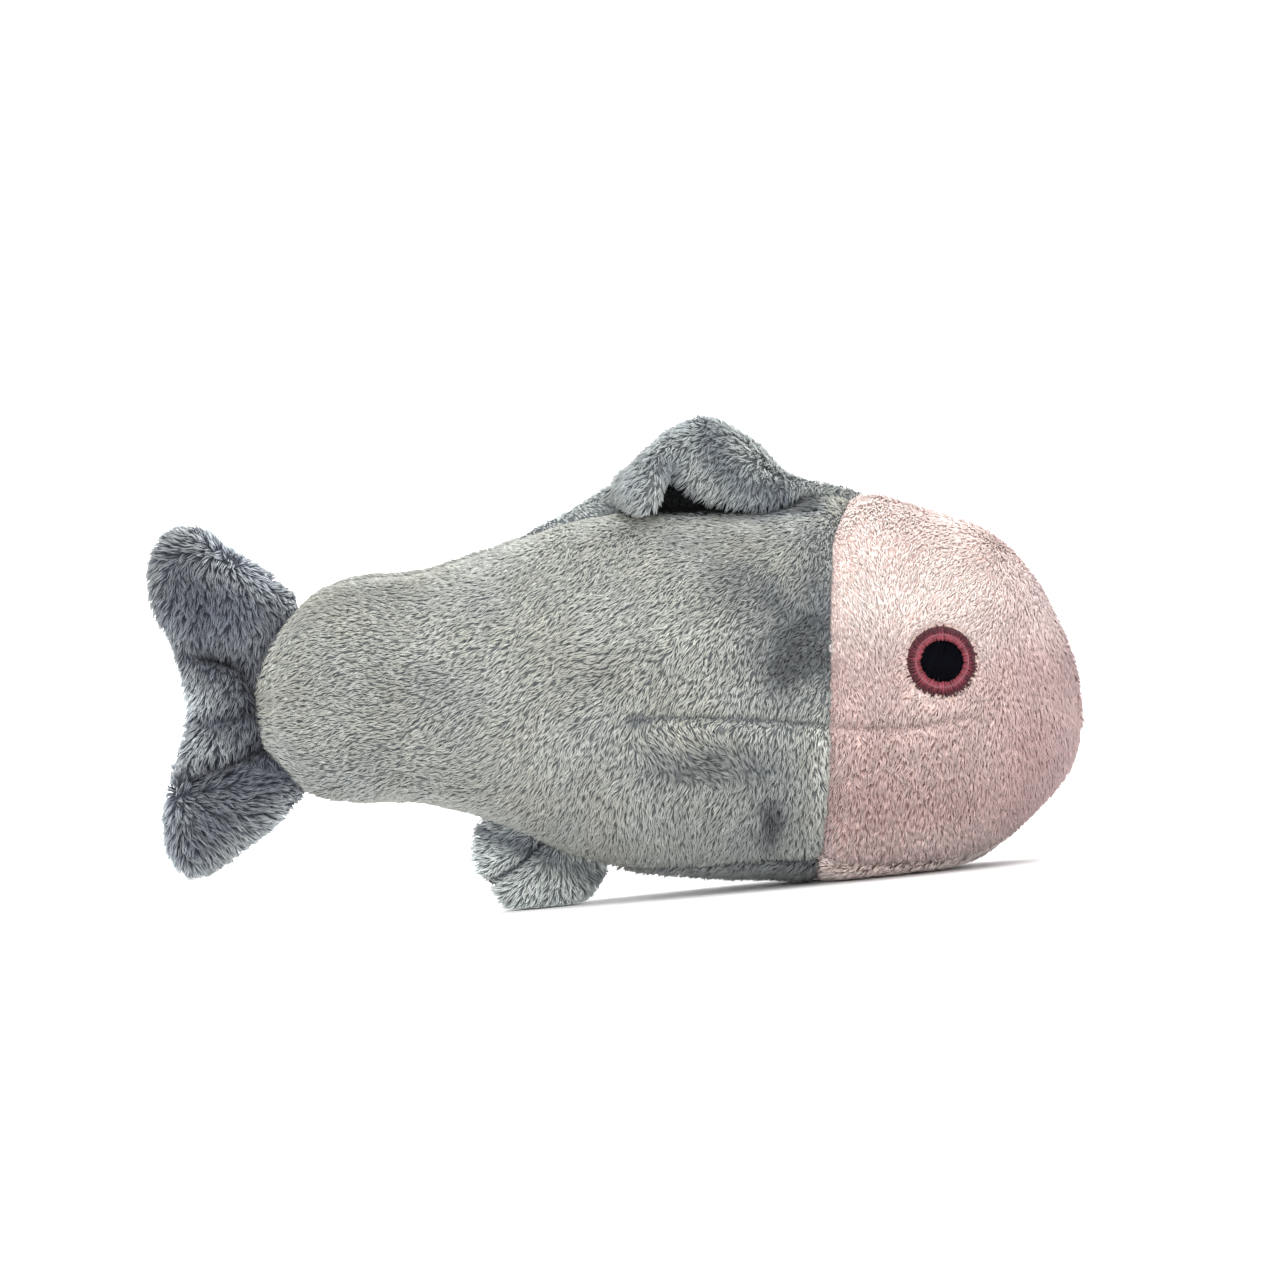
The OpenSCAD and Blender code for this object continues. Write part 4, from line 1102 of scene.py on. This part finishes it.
ra, fa = along(ra, ni), along(fa, ni)
v = np.linspace(0, 1, nj)
v = .6 * v + .4 * (1 - np.cos(v * np.pi)) / 2
x = ra[:, 0:1] + (fa[:, 0:1] - ra[:, 0:1]) * v[None, :]
z = ra[:, 1:2] + (fa[:, 1:2] - ra[:, 1:2]) * v[None, :]
d = inside_distance(x, z, [tuple(q) for q in fa])
q3 = np.stack([x, 0 * x, z], -1)
plump = 2.7 * rim(d, 4.6) * (1 - .3 * smooth(-16, -24, x))
CR = [(-13.0, -25.5), (-14.6, -28.2), (-17.6, -31.2), (-20.4, -33.0), (-23.6, -34.6)]
cr = 2.9 * np.exp(-(polyline_distance(x, z, CR)[0] / 1.25) ** 2)
front = .55 * smooth(.3, 3.0, (x + 15.2) * .66 - (z + 29.2) * .75) * rim(d, 3)
half_r = np.maximum(plump + front + (.3 * noise(q3, 6, 71) + .15 * noise(q3, 3.4, 72)) * rim(d, 2.5) - cr, .12)
half_l = np.maximum(plump + (.35 * noise(q3, 6, 73)) * rim(d, 2.5) + .6 * cr * rim(d, 3), .12)
half_r[:, -1] = half_l[:, -1] = .1
mid = np.stack([x, -.6 * smooth(-30, -40, z) + .5 * noise(q3, 12, 74), z], -1)
nrm = np.zeros_like(mid)
nrm[..., 1] = -1
PR, PL = two_sides(mid, nrm, half_r, half_l)
for g in (PR, PL):
    g["edge"] = d
pelvic_cloth = fin_mesh("cloth_pelvic", PR, PL, GREY_CLOTH, None)
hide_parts("pelvic_panel_right", "pelvic_panel_left", "pelvic_filling", "pelvic_edge_thread")
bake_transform(pelvic_cloth)


def pelvic_way(s):
    x, y, z = s["p"].T
    rear = smooth(-14, -20, x - (z + 30) * .6)
    fan = np.stack([(x + 11) * .09 - .15 - .6 * rear, 0 * x, -1 + .5 * rear], -1)
    k = 14 * noise(s["p"], 5, 75)
    fan[:, 0] += .03 * k
    w = np.exp(-(polyline_distance(x, z, CR)[0] / 2.2) ** 2)[:, None]
    fan = unit(fan) * (1 - w) + np.array([-.76, 0, -.65]) * w
    out = unit(np.stack([s["n"][:, 0], 0 * x, s["n"][:, 2]], -1) + 1e-6)
    return lean_out(fan, out, s["edge"], 1.4, .9)


def pelvic_shade(s):
    x, y, z = s["p"].T
    root = polyline_distance(x, z, [tuple(q) for q in along(spline([(a, b - 3.4) for a, b in PF_ROOT], 4), 12)])[0]
    light = 1.80 * (1 - .86 * np.exp(-(polyline_distance(x, z, CR)[0] / 1.15) ** 2)) * (1 - .62 * np.exp(-(root / 2.6) ** 2))
    light *= 1 - .30 * smooth(-30.5, -27, z) * smooth(-24, -16, x)
    return light * (1 + .10 * np.exp(-s["edge"] / 2)) * (1 + .10 * noise(s["p"], 4, 77))


def below_belly(s):
    x, y, z = s["p"].T
    belly = np.interp(x, _rows[:, 0], _rows[:, 2])
    return z < belly + 2.2


fin_pile("pile_pelvic", (("right", PR), ("left", PL)), "pelvic_fin", 5.2, lambda s: (2.5 - .3 * np.exp(-s["edge"] / 2)) * (1 - .6 * np.exp(-(polyline_distance(s["p"][:, 0], s["p"][:, 2], CR)[0] / 1.5) ** 2)),
         lambda s: np.full(len(s["p"]), .52), FIN_FUR, pelvic_way, pelvic_shade, width=.14, keep=below_belly)


# ---------------------------------------------------------------- eyes
def tubes(name, paths, radius, material, attrs_along=None, sides=5):
    """Rounded threads along many short paths, all with the same number of points, closed at both ends."""
    P = np.asarray(paths, float)                       # n, m, 3
    n, m = P.shape[:2]
    tan = unit(np.gradient(P, axis=1))
    side = unit(np.cross(tan, np.array([.13, .97, .21])))
    upv = np.cross(tan, side)
    a = np.arange(sides) * 2 * np.pi / sides
    rad = np.asarray(radius, float)
    if rad.ndim < 2:
        rad = np.broadcast_to(rad.reshape(-1, 1), (n, m))
    ring = P[:, :, None, :] + rad[:, :, None, None] * (side[:, :, None, :] * np.cos(a)[None, None, :, None] + upv[:, :, None, :] * np.sin(a)[None, None, :, None])
    caps = np.stack([P[:, 0], P[:, -1]], 1)
    verts = np.concatenate([ring.reshape(n, m * sides, 3), caps], 1)
    per = m * sides + 2
    base = (np.arange(n) * per)[:, None]
    q, tr, uq, ut = [], [], [], []
    c = math.ceil(math.sqrt(n))
    cu, cv = (np.arange(n) % c) / c, (np.arange(n) // c) / c
    w = 1 / c

    def uvp(fa, fb):
        return np.stack([cu + w * (.08 + .84 * fa), cv + w * (.08 + .84 * fb)], -1)
    for i in range(m - 1):
        for k in range(sides):
            k2 = (k + 1) % sides
            q.append(np.concatenate([base + i * sides + k, base + i * sides + k2, base + (i + 1) * sides + k2, base + (i + 1) * sides + k], 1))
            uq.append(np.stack([uvp(k / sides, i / (m - 1)), uvp((k + 1) / sides, i / (m - 1)), uvp((k + 1) / sides, (i + 1) / (m - 1)), uvp(k / sides, (i + 1) / (m - 1))], 1))
    for k in range(sides):
        k2 = (k + 1) % sides
        tr.append(np.concatenate([base + k2, base + k, base + m * sides], 1))
        tr.append(np.concatenate([base + (m - 1) * sides + k, base + (m - 1) * sides + k2, base + m * sides + 1], 1))
        ut.append(np.stack([uvp((k + 1) / sides, 0), uvp(k / sides, 0), uvp((k + .5) / sides, .02)], 1))
        ut.append(np.stack([uvp(k / sides, 1), uvp((k + 1) / sides, 1), uvp((k + .5) / sides, .98)], 1))
    al = np.linspace(0, 1, m) if attrs_along is None else attrs_along
    al = np.broadcast_to(al, (n, m))
    at = np.concatenate([np.repeat(al, sides, axis=1), al[:, :1], al[:, -1:]], 1).ravel()
    rn = np.repeat(rng.random(n), per)
    ob = mesh_from(name, place(verts.reshape(-1, 3)), np.concatenate(q), np.concatenate(tr),
                   np.concatenate([np.concatenate(uq).reshape(-1, 2), np.concatenate(ut).reshape(-1, 2)]), dict(along=at, tuft=rn))
    ob.data.materials.append(material)
    return ob


def surface_y(x, z, off):
    xr = 10 + (x - 10) / (1 - off / 80)
    r1, r2, r3 = (np.interp(xr, _rows[:, 0], _rows[:, k]) for k in (1, 2, 3))
    h, w, mid = (r1 - r2) / 2 - off, r3 - off, (r1 + r2) / 2
    s = np.clip(np.abs(z - mid) / h, 0, .999)
    return w * (1 - s ** 2.3) ** (1 / 2.3)


def eye_point(side, u, v, off):
    """A point over the eye: u forward and v up from its centre, off mm under the tips of the pile."""
    x, z = EYE[0] + u, EYE[1] + v
    # a shallow dish: the embroidery draws the pile down less in its middle than the head is curved
    y = .55 * surface_y(x, z, off) + .45 * surface_y(np.full_like(x, EYE[0]) + .6 * u, EYE[1] + .6 * v, off)
    return np.stack([x, side * y, z], -1)


def floss_material(name, stops, sheen=.3, spec=.3):
    m, nt, bsdf = node_tree(name)
    col = ramp(nt, attr(nt, "along"), stops)
    col = times(nt, col, remap(nt, attr(nt, "tuft"), 0, 1, .68, 1.28))
    tc = add(nt, "ShaderNodeTexCoord")
    w = add(nt, "ShaderNodeTexNoise")
    nt.links.new(tc.outputs["Object"], w.inputs["Vector"])
    w.inputs["Scale"].default_value = 5200
    col = times(nt, col, remap(nt, w.outputs["Fac"], .3, .7, .86, 1.12))
    nt.links.new(col, bsdf.inputs["Base Color"])
    nt.links.new(remap(nt, w.outputs["Fac"], .3, .7, .42, .62), bsdf.inputs["Roughness"])
    bsdf.inputs["Sheen Weight"].default_value = sheen
    bsdf.inputs["Specular IOR Level"].default_value = spec
    b = add(nt, "ShaderNodeBump")
    b.inputs["Strength"].default_value = .35
    b.inputs["Distance"].default_value = .00005
    nt.links.new(w.outputs["Fac"], b.inputs["Height"])
    nt.links.new(b.outputs[0], bsdf.inputs["Normal"])
    return m


RING_FLOSS = floss_material("maroon_satin", [(0, srgb(70, 22, 30)), (.14, srgb(104, 40, 48)), (.34, srgb(130, 60, 70)), (.52, srgb(112, 44, 54)), (.62, srgb(78, 28, 38)), (1.0, srgb(54, 16, 26))], .05, .2)
PUPIL_FLOSS = floss_material("black_satin", [(0, srgb(3, 3, 6)), (.5, srgb(5, 5, 11)), (1, srgb(3, 3, 6))], 0, .02)

for side, tag in ((-1, "right"), (1, "left")):
    n = 118
    k = np.arange(n)
    a = 2 * np.pi * (k + .35 * rng.normal(size=n) * .6) / n
    r0 = 3.80 + rng.normal(0, .10, n)
    r1 = 6.28 + rng.normal(0, .22, n) + .34 * (k % 2) - .22 * np.sin(a)
    t = np.linspace(0, 1, 7)[None, :]
    r = r0[:, None] + (r1 - r0)[:, None] * t
    twist = a[:, None] + (.05 * rng.normal(size=n))[:, None] * (t - .5)
    arch = .78 * (1 - (2 * t - 1) ** 4) ** .5 - .35
    off = .95 - arch - .10 * (k % 2)[:, None]
    P = np.stack([eye_point(side, r[:, j] * np.cos(twist[:, j]), r[:, j] * np.sin(twist[:, j]), off[:, j]) for j in range(7)], 1)
    ring_ob = tubes("eye_ring_stitches_" + tag, P, np.full(n, .185), RING_FLOSS, t)
    # an outline stitch lies round the ring's lighter middle
    m_ = 60
    aa = 2 * np.pi * np.arange(m_) / m_
    seg = np.linspace(0, 1, 4)[None, :]
    an = aa[:, None] + seg * (2 * np.pi / m_) * 1.15
    P2 = np.stack([eye_point(side, (4.9 + .12 * np.sin(seg[:, j] * np.pi)) * np.cos(an[:, j]), (4.9 + .12 * np.sin(seg[:, j] * np.pi)) * np.sin(an[:, j]), np.full(m_, .36)) for j in range(4)], 1)
    line_ob = tubes("eye_outline_stitches_" + tag, P2, np.full(m_, .15), ROSE)
    # pad under the ring, so that no cloth shows between stitches
    nr, na = 9, 72
    rr = np.linspace(.02, 6.55, nr)[:, None]
    an = 2 * np.pi * np.arange(na + 1)[None, :] / na
    offs = 1.02 + 0 * rr + .9 * (rr / 6.55) ** 8
    u, v = rr * np.cos(an), rr * np.sin(an)
    pad = eye_point(side, u, v, np.broadcast_to(offs, u.shape))
    low = eye_point(side, u, v, np.broadcast_to(offs + .5, u.shape))
    gp = dict(p=pad, n=np.broadcast_to(np.array([0.0, side, 0.0]), pad.shape))
    pad_ob = shell("eye_pad_" + tag, gp, .5, flip=side > 0)
    pad_ob.data.materials.append(MAROON)
    # pupil: parallel satin stitches over a small dome
    R = 4.0
    rows_n = 29
    h = (np.arange(rows_n) - (rows_n - 1) / 2) / ((rows_n - 1) / 2) * (R - .12)
    wd = np.sqrt(R * R - h * h) + .14 + rng.normal(0, .07, rows_n)
    t = np.linspace(-1, 1, 9)[None, :]
    uu = wd[:, None] * t + .05 * rng.normal(size=(rows_n, 1))
    vv = h[:, None] + .05 * rng.normal(size=(rows_n, 1)) * t
    ca, sa = math.cos(1.25), math.sin(1.25)
    dome = 1 - (uu ** 2 + vv ** 2) / (R * R)
    off = .88 - .52 * np.sqrt(np.clip(dome, 0, 1)) + .25 * (np.abs(t) > .95)
    P = np.stack([eye_point(side, uu[:, j] * ca - vv[:, j] * sa, uu[:, j] * sa + vv[:, j] * ca, off[:, j]) for j in range(9)], 1)
    pup = tubes("eye_pupil_stitches_" + tag, P, np.full(rows_n, .19), PUPIL_FLOSS, (t + 1) / 2, 6)
    nr = 7
    rr = np.linspace(.02, R - .05, nr)[:, None]
    u, v = rr * np.cos(an), rr * np.sin(an)
    gp = dict(p=eye_point(side, u, v, .95 - .52 * np.sqrt(1 - (rr / (R + .02)) ** 2) + 0 * an), n=np.broadcast_to(np.array([0.0, side, 0.0]), u.shape + (3,)))
    pp = shell("eye_pupil_pad_" + tag, gp, .5, flip=side > 0)
    pp.data.materials.append(INK)
    for ob, sl in ((ring_ob, "maroon_embroidery"), (line_ob, "maroon_embroidery"), (pad_ob, "maroon_embroidery"), (pup, "black_embroidery"), (pp, "black_embroidery")):
        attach(ob, "body")
    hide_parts("eye_ring_" + tag)
    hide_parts("eye_pupil_" + tag)

# ---------------------------------------------------------------- seam stitches, deep in the valleys
def stitches(name, lines, material, node, pitch=2.1, radius=.13, sink=.1):
    """Short rounded stitches end to end along polylines of points that carry normals."""
    paths = []
    for pts, nrm_ in lines:
        run = np.concatenate([[0], np.cumsum(np.linalg.norm(np.diff(pts, axis=0), axis=1))])
        n = max(2, int(run[-1] / pitch))
        for k in range(n):
            at = (k + np.linspace(.06, .94, 6)) / n * run[-1]
            c = np.stack([np.interp(at, run, pts[:, q]) for q in range(3)], -1)
            m_ = unit(np.stack([np.interp(at, run, nrm_[:, q]) for q in range(3)], -1))
            arch = np.array([-.22, .02, .1, .1, .02, -.22])[:, None]
            paths.append(c + m_ * (arch - sink))
    ob = tubes(name, paths, np.full(len(paths), radius), material)
    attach(ob, "body")
    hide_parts(node)
    return ob


FR, FL, HR, HL, BG, CG = (GRIDS[k] for k in ("flank_right", "flank_left", "head_right", "head_left", "belly", "chin"))
neck_lines = [(g["p"][-1], g["n"][-1]) for g in (FR, FL, BG)]
stitches("neck_seam_stitches", neck_lines, SEAM, "neck_seam_thread")
back_p = np.concatenate([FR["p"][2:, 0], HR["p"][1:-2, 0]])
back_n = np.concatenate([FR["n"][2:, 0], HR["n"][1:-2, 0]])
stitches("back_seam_stitches", [(back_p, back_n)], SEAM, "back_seam_thread")
belly_lines = []
for a_, b_ in ((FR, HR), (FL, HL)):
    first = I_A if a_ is FL else 2
    last_ = (I_B - I_NECK) if a_ is FL else -2
    belly_lines.append((np.concatenate([a_["p"][first:, -1], b_["p"][1:last_, -1]]), np.concatenate([a_["n"][first:, -1], b_["n"][1:last_, -1]])))
stitches("belly_seam_stitches", belly_lines, SEAM, "belly_seam_threads")
dart_lines, rosy_lines = [], []
for fa_, ha_ in ((FR, HR), (FL, HL)):
    for g, box in ((fa_, dart_lines), (ha_, rosy_lines)):
        P_, N_ = g["p"].reshape(-1, 3), g["n"].reshape(-1, 3)
        flat = np.abs(P_[:, 1]) > 10
        P_, N_ = P_[flat], N_[flat]
        tree = KDTree(len(P_))
        for k, c in enumerate(P_):
            tree.insert((c[0], 0, c[2]), k)
        tree.balance()
        pts, ns = [], []
        for (a_, b_) in spline(DART, 5)[2:-2]:
            inside = a_ < NECK_X - .6 if box is dart_lines else a_ > NECK_X + .2
            if inside:
                near = [i for (_, i, _) in tree.find_n((a_, 0, b_), 4)]
                pts.append(P_[near].mean(0))
                ns.append(unit(N_[near].mean(0)))
        box.append((np.array(pts), np.array(ns)))
stitches("dart_stitches_grey", dart_lines, SEAM, "dart_threads", 1.8, .11, .12)
rosy = tubes("dart_stitches_pink", [p_ for p_ in (np.stack([np.interp(np.linspace(k, k + .85, 5), np.arange(len(l[0])), l[0][:, q]) for q in range(3)], -1) - l[1][min(k, len(l[1]) - 1)] * .12
                                                 for l in rosy_lines for k in range(len(l[0]) - 1))], np.full(sum(len(l[0]) - 1 for l in rosy_lines), .11), PINK_THREAD)
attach(rosy, "body")
# the opening under the belly is closed by hand, with slanting stitches across the seam
hand = []
edge_r, edge_l = FR, FL
rows_open = [i for i in range(I_NECK) if -56 < FR["p"][i, -1, 0] < -40]
for i in rows_open[::2]:
    a_, b_ = FR["p"][i, -3] + FR["n"][i, -3] * .15, FL["p"][min(i + 1, I_NECK - 1), -3] + FL["n"][i, -3] * .15
    c = (FR["p"][i, -1] + FR["n"][i, -1] * .30)
    tt = np.linspace(0, 1, 6)[:, None]
    hand.append((1 - tt) ** 2 * a_ + 2 * (1 - tt) * tt * c + tt ** 2 * b_)
hand_ob = tubes("closing_hand_stitches", hand, np.full(len(hand), .15), SEAM)
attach(hand_ob, "body")
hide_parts("closing_stitches")

# ---------------------------------------------------------------- inner pieces keep their CAD shape
for name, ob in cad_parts.items():
    mat = None
    if name.endswith("filling"):
        mat = FIBRE
    elif name.startswith("eye_backing"):
        mat = BACKING
    elif "thread" in name or "stitches" in name:
        mat = SEAM
    elif name.startswith("eye_ring"):
        mat = MAROON
    elif name.startswith("eye_pupil"):
        mat = INK
    elif name.startswith("tail"):
        mat = DARK_CLOTH
    elif name.startswith(("dorsal", "pelvic")):
        mat = GREY_CLOTH
    if mat:
        for slot in ob.material_slots:
            slot.material = mat

# ---------------------------------------------------------------- stage, light, camera
def stage_mesh():
    y = np.concatenate([np.linspace(-2.6, 1.6, 14), 1.6 + .5 * np.sin(np.radians(np.linspace(8, 90, 12))), np.full(6, 2.1)])
    z = np.concatenate([np.zeros(14), .5 - .5 * np.cos(np.radians(np.linspace(8, 90, 12))), np.linspace(.7, 3, 6)])
    x = np.linspace(-3, 3, 9)
    v = np.array([[a, b, c] for b, c in zip(y, z) for a in x])
    q = grid_quads(len(y), len(x))
    ob = mesh_from("studio_sweep", v, q, None, None)
    m, nt, bsdf = node_tree("pale_sweep")
    col = ramp(nt, texture_noise(nt, 3, 2), [(.3, (.93, .93, .93, 1)), (.7, (.95, .95, .95, 1))])
    nt.links.new(col, bsdf.inputs["Base Color"])
    bsdf.inputs["Roughness"].default_value = .9
    bsdf.inputs["Specular IOR Level"].default_value = .1
    ob.data.materials.append(m)
    ob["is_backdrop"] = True


stage_mesh()


def area(name, loc, target, size, power, colour=(1, 1, 1)):
    li = bpy.data.lights.new(name, "AREA")
    li.shape = "DISK"
    li.size = size
    li.energy = power
    li.color = colour
    ob = bpy.data.objects.new(name, li)
    ob.location = loc
    ob.rotation_mode = "QUATERNION"
    ob.rotation_quaternion = (Vector(target) - Vector(loc)).to_track_quat("-Z", "Y")
    bpy.context.scene.collection.objects.link(ob)


area("top_soft", (.05, -.40, 1.0), (0, 0, .03), 1.0, 12.0)
area("front_soft", (-.2, -1.1, .50), (0, 0, .04), .9, 5.8)
area("low_soft", (.05, -.75, .07), (.01, 0, .02), .22, 1.5)
area("back_soft", (.3, .55, .9), (0, 0, .04), .5, 3)
area("wall_wash", (0, 1.0, 1.7), (0, 2.1, .4), 1.6, 60)

world = bpy.data.worlds.new("studio")
bpy.context.scene.world = world
world.use_nodes = True
bg = world.node_tree.nodes["Background"]
bg.inputs[0].default_value = (1, 1, 1, 1)
bg.inputs[1].default_value = .60

cam_data = bpy.data.cameras.new("camera")
cam_data.lens = 135
cam_data.sensor_width = 36
cam = bpy.data.objects.new("camera", cam_data)
bpy.context.scene.collection.objects.link(cam)
bpy.context.scene.camera = cam
width = .2462
dist = width * 135 / 36
centre = place([4.8, 0, 11.54])
right, up = np.array([CT, 0, -ST]), np.array([ST, 0, CT])
m = Matrix.Identity(4)
for r in range(3):
    m[r][0], m[r][1], m[r][2] = right[r], up[r], (0, -1, 0)[r]
    m[r][3] = centre[r] + (0, -1, 0)[r] * dist
cam.matrix_world = m
cam_data.clip_start, cam_data.clip_end = .05, 20

scene = bpy.context.scene
scene.view_settings.view_transform = "Standard"
scene.view_settings.look = "None"

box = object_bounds()
